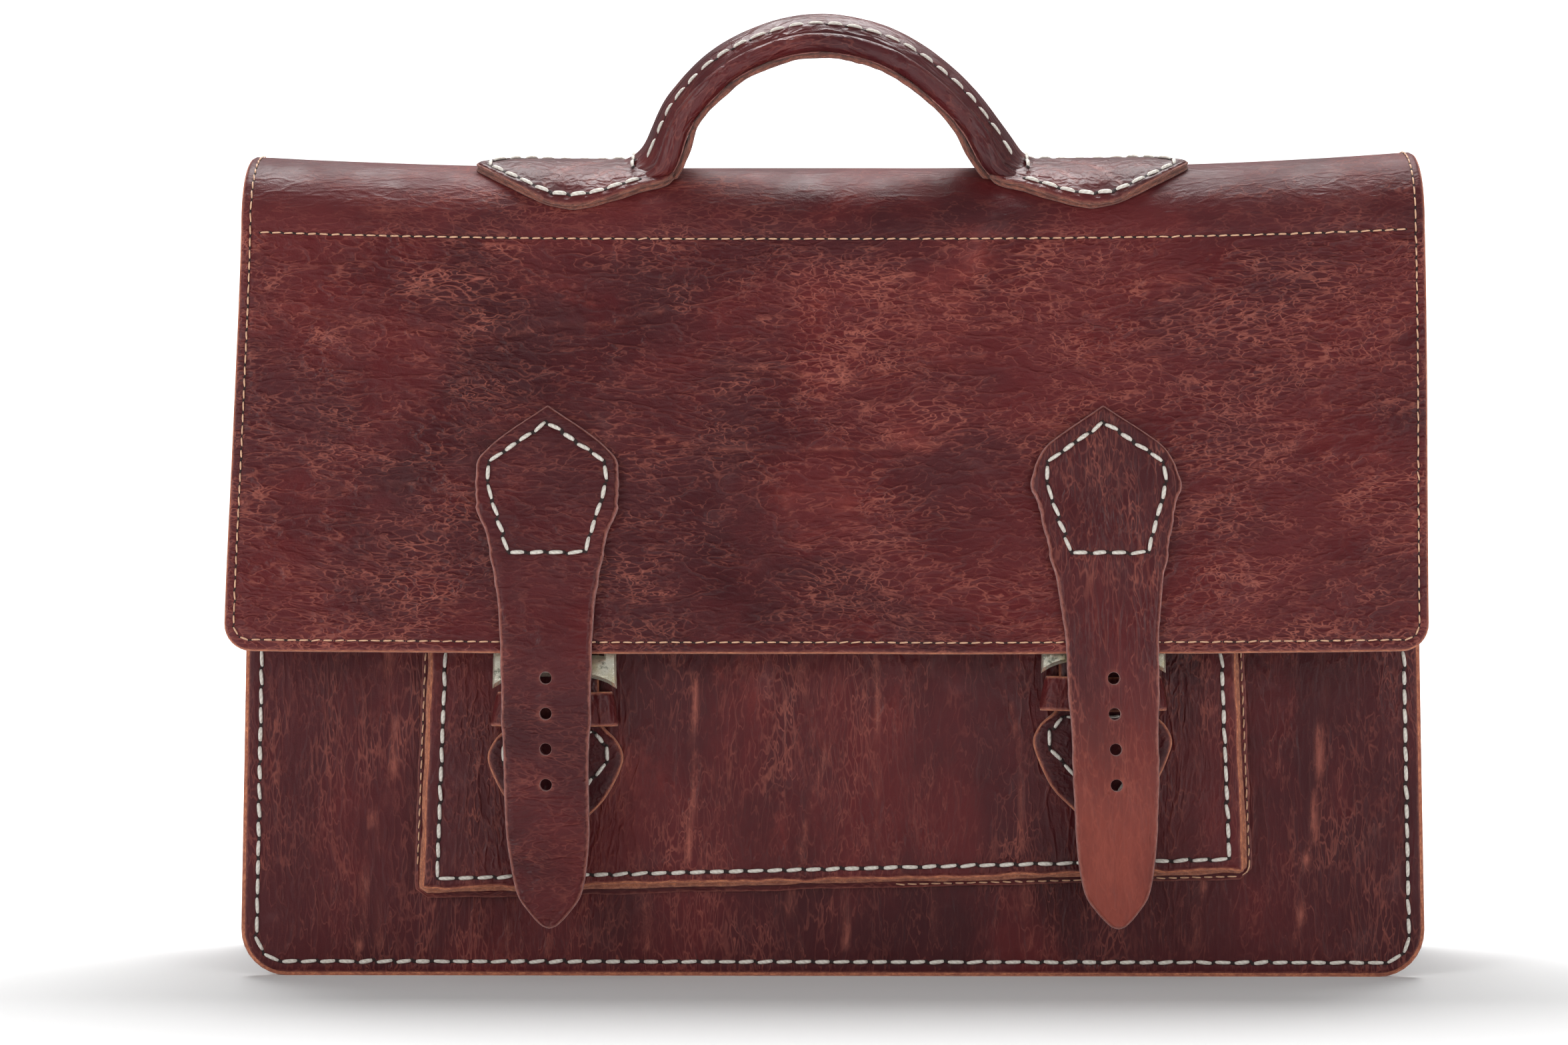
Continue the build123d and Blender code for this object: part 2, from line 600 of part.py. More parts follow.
# ---- assembly ----------------------------------------------------------------------------
def build_nodes():
    nodes = {
        "front_panel": front_panel(),
        "back_panel": back_panel(),
        "gusset": gusset(),
        "front_seam_thread": body_seam(FRONT),
        "back_seam_thread": body_seam(BACK),
        "pocket_front": pocket_front(),
        "pocket_gusset": pocket_gusset(),
        "pocket_seam_thread": pocket_seam_thread(),
        "pocket_flange_thread": pocket_flange_thread(),
        "flap_top_panel": flap_top_panel(),
        "flap_top_lining": flap_top_lining(),
        "handle_stiffener": handle_stiffener(),
        "top_edge_thread": top_edge_thread(),
        "flap_front_panel": flap_front_panel(),
        "flap_front_lining": flap_front_lining(),
        "flap_edge_thread": flap_edge_thread(),
        "flap_cross_thread": flap_cross_thread(),
        "handle_cover": handle_cover(),
        "handle_core": handle_core(),
        "handle_underside": handle_underside(),
        "handle_thread": handle_thread(),
    }
    for name, side in SIDES.items():
        nodes[name + "_strap_anchor"] = strap_anchor(side)
        nodes[name + "_strap_thread"] = strap_thread(side)
        nodes[name + "_strap_tongue"] = strap_tongue(side)
        nodes[name + "_buckle_tab"] = buckle_tab(side)
        nodes[name + "_tab_thread"] = tab_thread(side)
        nodes[name + "_tab_neck"] = tab_neck(side)
        nodes[name + "_buckle_frame"] = buckle_frame(side)
        nodes[name + "_prong"] = prong(side)
        nodes[name + "_keeper"] = keeper(side)
        nodes[name + "_handle_pad"] = handle_pad(name)
        nodes[name + "_pad_thread"] = pad_thread(name)
    return nodes


os.makedirs("parts", exist_ok=True)
shift = Pos(0, CENTRE_SHIFT, 0)
whole = []
for node_name, solid in build_nodes().items():
    placed = shift * solid
    whole.append(placed)
    export_step(placed, "parts/" + node_name + ".step")
extent = Compound(whole).bounding_box()
print("box", extent.min, extent.max)
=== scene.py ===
import json
from math import atan2, cos, pi, radians, sin, tan

import bpy
import numpy as np
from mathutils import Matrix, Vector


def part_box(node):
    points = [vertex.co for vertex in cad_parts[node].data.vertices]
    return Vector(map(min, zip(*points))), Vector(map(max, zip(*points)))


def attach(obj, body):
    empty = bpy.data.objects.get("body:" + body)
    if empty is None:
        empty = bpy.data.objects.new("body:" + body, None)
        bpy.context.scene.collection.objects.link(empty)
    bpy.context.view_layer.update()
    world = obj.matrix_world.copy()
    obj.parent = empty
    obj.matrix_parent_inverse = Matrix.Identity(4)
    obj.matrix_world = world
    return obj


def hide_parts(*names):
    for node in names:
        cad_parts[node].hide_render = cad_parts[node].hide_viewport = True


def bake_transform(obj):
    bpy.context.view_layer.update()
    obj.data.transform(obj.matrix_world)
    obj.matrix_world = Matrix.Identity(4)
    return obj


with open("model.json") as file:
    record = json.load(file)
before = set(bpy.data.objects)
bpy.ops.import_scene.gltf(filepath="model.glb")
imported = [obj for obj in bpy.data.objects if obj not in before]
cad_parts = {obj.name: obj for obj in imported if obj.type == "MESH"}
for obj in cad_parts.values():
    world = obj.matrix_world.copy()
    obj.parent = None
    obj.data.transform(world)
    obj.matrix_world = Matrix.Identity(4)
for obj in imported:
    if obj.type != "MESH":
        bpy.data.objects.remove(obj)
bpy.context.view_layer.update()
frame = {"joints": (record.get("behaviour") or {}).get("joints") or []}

# Leather briefcase: full-width flap over an arched top, rolled handle, patch pocket, two straps
# with buckles. Lengths are millimetres in the CAD model's frame. +X is right as seen from the
# front, -Y is the front, +Z is up. Sheets of leather are drawn as flat patterns and then bent
# onto the CAD faces.
MM = 0.001


# ---- frame of the CAD model ---------------------------------------------------------------------
def cad_low(node):
    return np.array(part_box(node)[0]) / MM


def cad_high(node):
    return np.array(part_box(node)[1]) / MM


def joint(name):
    return next(item for item in frame["joints"] if item["name"] == name)


def pivot(name):
    """A hinge's point in millimetres."""
    return np.array(joint(name)["pos_m"]) / MM


back_fold = pivot("flap_top_lift")
front_fold = pivot("flap_front_lift")
fold_height = front_fold[2]
arch_middle = (back_fold[1] + front_fold[1]) / 2
arch_half_depth = (back_fold[1] - front_fold[1]) / 2
arch_rise = cad_high("flap_top_panel")[2] - fold_height
flap_low = cad_low("flap_front_panel")
flap_slope = atan2(front_fold[1] - flap_low[1], fold_height - flap_low[2])
panel_up = joint("keeper_left_slide")["axis"]
front_lean = atan2(panel_up[1], panel_up[2])
front_foot = cad_low("front_panel")[1]
back_foot = cad_high("back_panel")[1]
front_height = cad_high("front_panel")[2] / cos(front_lean)
half_width = cad_high("flap_front_panel")[0]
body_half_width = cad_high("front_panel")[0]

# ---- sizes of the leather work ------------------------------------------------------------------
STEP = 1.6                     # grid spacing of the flap
COARSE_STEP = 1.5 * STEP       # grid spacing of the body's panels
EDGE_LINES = (0.0006, 0.002, 0.005)   # grid lines close to a sheet's sides, in half widths
LEATHER = 2.2
LINING = 1.2
POCKET_DEPTH = 7.5             # outer face of the pocket above the front panel
BODY_CORNER = 15.0
FLAP_CORNER = 9.0
TOP_TAPER = 3.0                # the front panel narrows by this much on each side
BODY_SEAM_INSET = 5.0
FLAP_SEAM_INSET = 3.3
FLAP_SKEW = 2.2                # the flap's lower edge lies this far to the left
HIDE_SPLIT = 0.6               # share of the arch after which the back's hide takes over
SADDLE_LEFT = 4.2              # rise of the arch's ends
SADDLE_RIGHT = 5.6
PROFILE_TAIL = 20.0            # the hide's side view starts this far below the flap
FRONT_RIM = 1.3                # the rounded rims reach this far below the panels' flat patterns
BACK_RIM = 1.0


# ---- numbers that vary smoothly -----------------------------------------------------------------
def smooth(t):
    t = np.clip(t, 0, 1)
    return t * t * (3 - 2 * t)


def bell(distance, width):
    """1 at distance 0, falling to nothing within about two widths."""
    return np.exp(-(distance / width) ** 2)


def value_noise(x, y, seed):
    """Random field between -1 and 1 with features about one unit long."""
    table = np.random.default_rng(seed).uniform(-1, 1, (64, 64))
    x, y = np.broadcast_arrays(np.asarray(x, float), np.asarray(y, float))
    i, j = np.floor(x).astype(int), np.floor(y).astype(int)
    u, v = smooth(x - i), smooth(y - j)
    near = table[i % 64, j % 64] * (1 - u) + table[(i + 1) % 64, j % 64] * u
    far = table[i % 64, (j + 1) % 64] * (1 - u) + table[(i + 1) % 64, (j + 1) % 64] * u
    return near * (1 - v) + far * v


def rough(x, y, size, seed=0, octaves=3):
    """Layered random field; the largest features are about one size long."""
    total, gain = 0.0, 1.0
    for octave in range(octaves):
        total = total + gain * value_noise(np.asarray(x) / size, np.asarray(y) / size, seed + octave)
        size, gain = size / 2.1, gain / 2
    return total


def line_distance(x, y, points):
    """Distance from each point of a field to a polyline."""
    best = np.full(np.shape(x), 1e9)
    for (ax, ay), (bx, by) in zip(points, points[1:]):
        length = (bx - ax) ** 2 + (by - ay) ** 2
        t = np.clip(((x - ax) * (bx - ax) + (y - ay) * (by - ay)) / length, 0, 1)
        best = np.minimum(best, np.hypot(x - ax - t * (bx - ax), y - ay - t * (by - ay)))
    return best


def pressed(x, y, lines, width):
    """Relief and mask of pressed creases with raised lips, from a list of (points, depth)."""
    relief, mask = np.zeros(np.shape(x)), np.zeros(np.shape(x))
    wander = 1.5 * width * rough(x, y, 25, seed=91, octaves=2)
    for points, depth in lines:
        distance = line_distance(x + wander, y + wander, points)
        relief += depth * (0.45 * bell(distance - 2 * width, width) - bell(distance, width))
        mask = np.maximum(mask, 2 * depth * bell(distance, 0.5 * width))
    return relief, mask


def grid_line(low, high, step, fine=(0.15, 0.5, 1.0)):
    """Positions from low to high, finer next to both ends."""
    start, end = low + fine[-1], high - fine[-1]
    count = max(2, int(round((end - start) / step)) + 1)
    middle = np.linspace(start, end, count)
    near = [low] + [low + f for f in fine[:-1]]
    return np.concatenate([near, middle, [high - f for f in fine[-2::-1]] + [high]])


# ---- places: from flat patterns to the model's frame --------------------------------------------
class Profile:
    """Smoothed path in a plane, such as the side view of a bent sheet, measured along its run."""

    def __init__(self, points, origin=0.0, soften=5.0, spacing=0.5):
        points = np.array(points, float)
        legs = np.hypot(*np.diff(points, axis=0).T)
        run = np.concatenate([[0], np.cumsum(legs)])
        even = np.arange(0, run[-1], spacing)
        y, z = np.interp(even, run, points[:, 0]), np.interp(even, run, points[:, 1])
        reach = max(1, int(soften / spacing / 2))
        y, z = (self.averaged(values, reach) for values in (y, z))
        slope_y, slope_z = np.gradient(y), np.gradient(z)
        size = np.hypot(slope_y, slope_z)
        self.run = even - origin
        self.end = float(self.run[-1])
        self.y, self.z = y, z
        self.out_y, self.out_z = -slope_z / size, slope_y / size

    @staticmethod
    def averaged(values, reach):
        """Running average that keeps straight ends straight."""
        before = 2 * values[0] - values[reach:0:-1]
        after = 2 * values[-1] - values[-2:-reach - 2:-1]
        padded = np.concatenate([before, values, after])
        return np.convolve(padded, np.ones(2 * reach + 1) / (2 * reach + 1), mode="valid")

    def at(self, run, away):
        """Point at a run, moved away from the outer skin."""
        y = np.interp(run, self.run, self.y) + away * np.interp(run, self.run, self.out_y)
        z = np.interp(run, self.run, self.z) + away * np.interp(run, self.run, self.out_z)
        return y, z


def hide_points():
    """Side view of the hide: up the flap, over the arch and down the back."""
    angles = np.linspace(0, pi, 90)
    arch = [(arch_middle - arch_half_depth * cos(a), fold_height + arch_rise * sin(a)) for a in angles]
    drop = fold_height - flap_low[2] + PROFILE_TAIL
    below_flap = (front_fold[1] - drop * tan(flap_slope), fold_height - drop)
    return [below_flap] + arch + [(back_foot, 0.0)]


flap_length = (fold_height - flap_low[2]) / cos(flap_slope)
hide_profile = Profile(hide_points(), origin=flap_length + PROFILE_TAIL / cos(flap_slope))
arch_length = float(np.interp(back_fold[1] - 0.3, hide_profile.y, hide_profile.run))
split_run = HIDE_SPLIT * arch_length
back_end = hide_profile.end


def saddle(x, run):
    """How far the arch and the flap lift towards their ends, and most of all at the ridge."""
    lift = np.where(x < 0, SADDLE_LEFT, SADDLE_RIGHT) * (np.abs(x) / half_width) ** 3
    front = 0.25 + 0.3 * smooth(1 + run / 120) + 0.45 * smooth((run + 10) / 30)
    back = 1 - smooth((run - arch_length) / 60)
    return lift * np.minimum(front, back)


def flap_wave(x, run):
    """Slow bends of the hanging flap and of the arched top."""
    hanging = smooth(-run / 60)
    broad = 0.9 * rough(x, run, 95, seed=3, octaves=2)
    edge = 0.8 * rough(x, run * 0, 46, seed=5, octaves=2) * smooth(-(run + 110) / 30)
    return broad * (0.35 + 0.65 * hanging) * smooth((100 - np.abs(run + 45)) / 60) + edge


def hide_place(x, run, away):
    """On the hide: along its run and away from its skin. The flap hangs a little to the left."""
    y, z = hide_profile.at(run, away + flap_wave(x, run))
    return x - FLAP_SKEW * smooth(-run / flap_length), y, z + saddle(x, run)


def front_place(x, up, away):
    """On the front panel: up its face, and away from it towards the front."""
    y = front_foot + up * sin(front_lean) - away * cos(front_lean)
    z = up * cos(front_lean) + away * sin(front_lean)
    return x, y, z


def pocket_wave(x, up):
    """The pocket's mouth bows forward a little and its face is slightly uneven."""
    mouth = 1.2 * smooth((up - 110) / 60) * (1 - (x / 150) ** 2)
    return mouth + 0.5 * rough(x, up, 70, seed=31, octaves=2)


def pocket_place(x, up, away):
    return front_place(x, up, away + POCKET_DEPTH + pocket_wave(x, up))


# ---- meshes -------------------------------------------------------------------------------------
TOP, RIM, UNDER = 0, 1, 2
RIM_STEPS = 5
HOLE_BULGE = 0.4               # roundness of a punched hole's rim, as a share of the outer rim's


def facing_out(points, faces):
    """The faces of a closed mesh, turned round if they point inward."""
    corners = np.array([(*face, face[-1])[:4] for face in faces])
    a, b, c, d = (points[corners[:, k]] for k in range(4))
    volume = np.einsum("ij,ij->", a, np.cross(b, c) + np.cross(c, d))
    return faces if volume > 0 else [face[::-1] for face in faces]


def new_piece(name, points, faces, materials, slots=None, attributes=None, sharp=50):
    """Mesh object from points in millimetres, with named vector attributes for its materials."""
    points = np.asarray(points, float)
    mesh = bpy.data.meshes.new(name)
    mesh.from_pydata((points * MM).tolist(), [], facing_out(points, faces))
    for material in materials:
        mesh.materials.append(material)
    if slots is not None:
        mesh.polygons.foreach_set("material_index", np.array(slots, np.int32))
    for label, values in (attributes or {}).items():
        layer = mesh.attributes.new(label, "FLOAT_VECTOR", "POINT")
        layer.data.foreach_set("vector", np.asarray(values, np.float32).ravel())
    mesh.update()
    mesh.shade_smooth()
    mesh.set_sharp_from_angle(angle=radians(sharp))
    piece = bpy.data.objects.new(name, mesh)
    bpy.context.scene.collection.objects.link(piece)
    return piece


def tidy_face(face):
    """Drop repeated neighbours from a face; None if nothing is left of it."""
    kept = [v for i, v in enumerate(face) if v != face[i - 1]]
    return kept if len(set(kept)) >= 3 else None


def border_loop(ids):
    """Border of a grid of vertex ids, without repeats."""
    loop = list(ids[0]) + list(ids[1:, -1]) + list(ids[-1, -2::-1]) + list(ids[-2:0:-1, 0])
    return [v for i, v in enumerate(loop) if v != loop[i - 1]]


def outward(points):
    """Unit directions that point out of a closed loop of flat points, which runs anticlockwise."""
    ahead = np.roll(points, -1, axis=0) - points
    behind = points - np.roll(points, 1, axis=0)
    ahead /= np.linalg.norm(ahead, axis=1)[:, None] + 1e-9
    behind /= np.linalg.norm(behind, axis=1)[:, None] + 1e-9
    along = ahead + behind
    along /= np.linalg.norm(along, axis=1)[:, None] + 1e-9
    return np.stack([along[:, 1], -along[:, 0]], axis=1)


def hole_loops(ids, gaps):
    """Borders of the cut-out cells. Each hole is a full rectangle of cells, listed clockwise."""
    loops = []
    seen = np.zeros_like(gaps)
    for i, j in np.argwhere(gaps):
        if seen[i, j]:
            continue
        rows = 1
        while gaps[i + rows, j]:
            rows += 1
        columns = 1
        while gaps[i, j + columns]:
            columns += 1
        seen[i:i + rows, j:j + columns] = True
        block = ids[i:i + rows + 1, j:j + columns + 1]
        loops.append(border_loop(block)[::-1])
    return loops


def rim(around, flat_x, flat_run, raised, under, swell, place):
    """Rings of points round a rounded rim: places, flat coordinates and how far they stick out."""
    x, run = flat_x[around], flat_run[around]
    out_x, out_run = outward(np.stack([x, run], axis=1)).T
    for step in range(1, RIM_STEPS):
        angle = pi * step / RIM_STEPS
        away = (raised[around] + under) / 2 + (raised[around] - under) / 2 * cos(angle)
        ring = x + out_x * swell * sin(angle), run + out_run * swell * sin(angle), away
        yield np.stack(place(*ring), axis=1), np.stack(ring, axis=1), sin(angle)


def sheet(name, x, run, place, top, under, materials, relief=0.0, folds=0.0, bulge=0.45, flush=None,
          gaps=None):
    """Sheet of leather with a rounded rim, from a grid of flat-pattern coordinates.

    x and run have one row per step along the run. The grid may narrow to a point. relief raises
    the upper face and folds marks the creases in it, and on a strap the pale ring painted round
    each hole as its rim's highlight. bulge is the rim's roundness. flush(x, run) marks border points
    that get no rounded rim. gaps marks the grid cells that are cut out.
    """
    relief = np.broadcast_to(relief, x.shape)
    edge = np.minimum(np.minimum(x - x[:, :1], x[:, -1:] - x), np.minimum(run - run[:1], run[-1:] - run))
    rounding = 0.3 * (top - under) * (1 - smooth(edge / 0.9)) * (bulge > 0)
    flat = np.stack([x.ravel(), run.ravel()], axis=1)
    _, first, ids = np.unique(np.round(flat, 3), axis=0, return_index=True, return_inverse=True)
    ids = ids.reshape(x.shape)
    flat_x, flat_run = flat[first].T
    raised = (relief - rounding).ravel()[first] + top
    count = len(first)

    points = [np.stack(place(flat_x, flat_run, raised), axis=1),
              np.stack(place(flat_x, flat_run, np.full(count, under)), axis=1)]
    flats = [np.stack([flat_x, flat_run, raised], axis=1), np.stack([flat_x, flat_run, raised * 0], axis=1)]
    edges = [edge.ravel()[first], edge.ravel()[first]]
    marks = [np.broadcast_to(folds, x.shape).ravel()[first], np.zeros(count)]

    cells = np.stack([ids[:-1, :-1], ids[:-1, 1:], ids[1:, 1:], ids[1:, :-1]], axis=-1)
    keep = np.ones(cells.shape[:2], bool) if gaps is None else ~gaps
    quads = [face for face in map(tidy_face, cells[keep].tolist()) if face]
    faces = quads + [[v + count for v in reversed(face)] for face in quads]
    slots = [TOP] * len(quads) + [UNDER] * len(quads)

    loops = [border_loop(ids)] + ([] if gaps is None else hole_loops(ids, gaps))
    total = 2 * count
    for number, loop in enumerate(loops):
        around = np.array(loop)
        swell = np.full(len(loop), bulge * (top - under) * (HOLE_BULGE if number else 1.0))
        if flush is not None:
            swell[flush(flat_x[around], flat_run[around])] = 0
        rings = [around]
        for places, flat_ring, reach in rim(around, flat_x, flat_run, raised, under, swell, place):
            points.append(places)
            flats.append(flat_ring)
            edges.append(np.full(len(loop), -reach))
            marks.append(np.zeros(len(loop)))
            rings.append(np.arange(total, total + len(loop)))
            total += len(loop)
        rings.append(around + count)
        for upper, lower in zip(rings, rings[1:]):
            ahead_upper, ahead_lower = np.roll(upper, -1), np.roll(lower, -1)
            faces += np.stack([upper, lower, ahead_lower, ahead_upper], axis=1).tolist()
            slots += [RIM] * len(loop)
    edges, marks = np.concatenate(edges), np.concatenate(marks)
    # second value: fold marks and, on a strap, the painted highlight rings round its holes
    wear_and_highlight = np.stack([edges, marks, marks * 0], axis=1)
    return new_piece(name, np.concatenate(points), faces, materials, slots,
                     {"flat": np.concatenate(flats), "border": wear_and_highlight})


def pattern(rows, half_at, columns, centre_at=None):
    """Grid of a pattern that is symmetric about a centre line; columns run from -1 to 1."""
    x = half_at(rows)[:, None] * columns[None, :]
    if centre_at is not None:
        x = x + centre_at(rows)[:, None]
    return x, np.repeat(rows[:, None], len(columns), axis=1)


def corner_pull(height, radius):
    """How far a side comes in at a height above the lower end, for a rounded corner."""
    rest = np.clip(radius - height, 0, radius)
    return radius - np.sqrt(radius ** 2 - rest ** 2)


def corner_rows(low, high, radius, step):
    """Row positions that follow a rounded corner at the low end."""
    angles = np.linspace(0, pi / 2, 9)
    corner = low + radius * (1 - np.cos(angles))
    count = int((high - low - radius) / step)
    above = np.linspace(low + radius, high, count)
    return np.concatenate([corner, above[1:-1], [high - 1.0, high - 0.5, high - 0.15, high]])


def spline_points(points, per_leg=12):
    """Points on a smooth curve through the given ones."""
    points = np.array(points, float)
    run = np.concatenate([[0], np.cumsum(np.sqrt(np.hypot(*np.diff(points, axis=0).T)))])
    slopes = np.gradient(points, run, axis=0)
    result = []
    for k in range(len(points) - 1):
        t = np.linspace(0, 1, per_leg, endpoint=False)[:, None]
        width = run[k + 1] - run[k]
        result.append((1 + 2 * t) * (1 - t) ** 2 * points[k] + t * (1 - t) ** 2 * width * slopes[k]
                      + t ** 2 * (3 - 2 * t) * points[k + 1] + t ** 2 * (t - 1) * width * slopes[k + 1])
    return np.concatenate(result + [points[-1:]])


def smooth_table(at, values):
    """Smooth curve through a table of positions and values, as two arrays for np.interp."""
    dense = spline_points(list(zip(at, values)))
    return dense[:, 0], np.maximum(dense[:, 1], 0)


def ragged(run, seed, amount=0.3):
    """Small unevenness of a hand-cut edge."""
    return amount * rough(run, run * 0, 9, seed=seed, octaves=3)


# ---- materials ----------------------------------------------------------------------------------
class Shader:
    """Short way to write a node tree. Values may be numbers, colours or other nodes' sockets."""

    def __init__(self, name):
        self.material = bpy.data.materials.new(name)
        self.material.use_nodes = True
        self.nodes = self.material.node_tree.nodes
        self.links = self.material.node_tree.links
        self.surface = self.nodes["Principled BSDF"]

    def set(self, socket, value):
        if isinstance(value, bpy.types.NodeSocket):
            self.links.new(value, socket)
        elif isinstance(value, tuple) and len(value) == 3 and socket.type == "RGBA":
            socket.default_value = (*value, 1)
        else:
            socket.default_value = value

    def add(self, kind, settings=None, **inputs):
        node = self.nodes.new("ShaderNode" + kind)
        for key, value in (settings or {}).items():
            setattr(node, key, value)
        for key, value in inputs.items():
            self.set(node.inputs[key.replace("_", " ")], value)
        return node

    def attribute(self, label):
        return self.add("Attribute", {"attribute_name": label}).outputs["Vector"]

    def scaled(self, vector, scale):
        return self.add("Mapping", {"vector_type": "POINT"}, Vector=vector, Scale=scale).outputs[0]

    def noise(self, vector, scale, detail=3.0, roughness=0.55, distortion=0.0):
        node = self.add("TexNoise", Vector=vector, Scale=scale, Detail=detail, Roughness=roughness,
                        Distortion=distortion)
        return node.outputs["Fac"]

    def warped(self, vector, scale, amount):
        """Coordinates pushed about by noise, so that patterns on them look natural."""
        shift = self.add("TexNoise", Vector=vector, Scale=scale, Detail=2.0).outputs["Color"]
        moved = self.add("VectorMath", {"operation": "MULTIPLY_ADD"})
        self.set(moved.inputs[0], shift)
        moved.inputs[1].default_value = (amount, amount, amount)
        self.set(moved.inputs[2], vector)
        return moved.outputs[0]

    def wrinkles(self, vector, scale, width):
        """Thin meandering lines where smooth noise crosses its middle value, and that distance."""
        level = self.noise(vector, scale, detail=2.5, roughness=0.55)
        distance = self.math("ABSOLUTE", self.math("SUBTRACT", level, 0.5))
        return self.ramp(distance, 0.0, width, 1.0, 0.0), distance

    def cell_edges(self, vector, scale):
        """Distance to the nearest border between random cells."""
        node = self.add("TexVoronoi", {"feature": "DISTANCE_TO_EDGE"}, Vector=vector, Scale=scale)
        return node.outputs["Distance"]

    def ramp(self, value, low, high, start=0.0, end=1.0):
        node = self.add("MapRange", {"interpolation_type": "SMOOTHSTEP"})
        self.set(node.inputs["Value"], value)
        for label, number in zip(("From Min", "From Max", "To Min", "To Max"), (low, high, start, end)):
            self.set(node.inputs[label], number)
        return node.outputs["Result"]

    def math(self, operation, first, second=0.0):
        node = self.add("Math", {"operation": operation})
        self.set(node.inputs[0], first)
        self.set(node.inputs[1], second)
        return node.outputs[0]

    def times(self, first, second):
        return self.math("MULTIPLY", first, second)

    def mix(self, share, first, second):
        node = self.add("Mix", {"data_type": "RGBA"})
        self.set(node.inputs[0], share)
        self.set(node.inputs[6], first)
        self.set(node.inputs[7], second)
        return node.outputs[2]

    def split(self, vector):
        return self.add("SeparateXYZ", Vector=vector).outputs

    def bump(self, height, distance, strength=1.0, normal=None):
        node = self.add("Bump", Height=height, Distance=distance * MM, Strength=strength)
        if normal is not None:
            self.set(node.inputs["Normal"], normal)
        return node.outputs[0]

    def finish(self, **inputs):
        for key, value in inputs.items():
            self.set(self.surface.inputs[key.replace("_", " ")], value)
        return self.material


def srgb(red, green, blue):
    """Linear colour from screen values between 0 and 255."""
    return tuple(((c / 255 + 0.055) / 1.055) ** 2.4 if c > 10 else c / 3300 for c in (red, green, blue))


DARK_HIDE = srgb(58, 15, 20)
PLUM_HIDE = srgb(72, 23, 27)
MID_HIDE = srgb(90, 26, 28)
LIGHT_HIDE = srgb(120, 48, 43)
VEIN = srgb(180, 104, 88)
TAN_HIDE = srgb(152, 72, 58)
# pale grey tint painted on as the soft sheen of the waxed leather
PAINTED_SHEEN = srgb(150, 112, 112)
RUBBED_EDGE = srgb(178, 112, 98)
RAW_EDGE = srgb(208, 132, 94)
RAW_DARK = srgb(140, 74, 54)
WHITE_THREAD = srgb(226, 220, 210)
TAN_THREAD = srgb(228, 182, 148)


def dye_colour(s, flat, streaks, warmth):
    """Dark clouds with warmer streaks in them."""
    clouds = s.noise(flat, 0.011, detail=3.0, roughness=0.5, distortion=0.3)
    colour = s.mix(s.ramp(clouds, 0.33, 0.62), DARK_HIDE, PLUM_HIDE)
    start = 0.59 - 0.4 * warmth
    warm = s.ramp(s.noise(streaks, 0.022, detail=7.0, roughness=0.58), start, start + 0.27)
    colour = s.mix(s.times(warm, 0.9), colour, MID_HIDE)
    start = 0.72 - 0.3 * warmth
    glow = s.ramp(s.noise(streaks, 0.04, detail=8.0, roughness=0.68), start, start + 0.20)
    return s.mix(s.times(glow, 0.75), colour, LIGHT_HIDE)


class WrinkleNet:
    """Long and short wrinkles and cracked cells of a leather, stronger in some patches."""

    def __init__(self, s, flat, drawn, calm):
        self.patches = s.ramp(s.noise(flat, 0.018, detail=3.0, distortion=0.5), 0.34, 0.62)
        long_lines, self.long_depth = s.wrinkles(drawn, 0.12, 0.016)
        short_lines, self.short_depth = s.wrinkles(s.warped(drawn, 0.2, 2.0), 0.27, 0.028)
        self.cells = s.cell_edges(s.warped(drawn, 0.35, 1.6), 0.46)
        cell_lines = s.times(s.ramp(self.cells, 0.0, 0.10, 0.7, 0.0), self.patches)
        lines = s.math("MAXIMUM", s.math("MAXIMUM", long_lines, short_lines), cell_lines)
        self.broken = s.ramp(s.noise(drawn, 0.09, detail=7.0, roughness=0.75), 0.34, 0.68)
        lines = s.times(lines, s.times(self.broken, calm))
        self.lines = s.times(lines, s.math("ADD", s.times(self.patches, 0.6), 0.4))

    def relief(self, s, flat, creases, depth):
        """Normal with the wrinkles pressed in, over slow waves and under the grain."""
        normal = s.bump(s.noise(flat, 0.05, detail=3.0), 1.6, 0.25)
        normal = s.bump(s.ramp(self.long_depth, 0.0, 0.08, 1.0, 0.0), 0.30 * creases, depth, normal)
        shallow = s.times(s.ramp(self.short_depth, 0.0, 0.10, 1.0, 0.0), s.math("ADD", self.patches, 0.3))
        normal = s.bump(shallow, 0.18 * creases, depth, normal)
        normal = s.bump(s.ramp(self.cells, 0.0, 0.4), 0.10 * creases, depth, normal)
        pores = s.cell_edges(s.warped(flat, 0.9, 0.7), 0.95)
        normal = s.bump(s.ramp(pores, 0.0, 0.35), 0.05, 0.5, normal)
        return s.bump(s.noise(flat, 1.8, detail=5.0, roughness=0.7), 0.06, 0.6, normal)


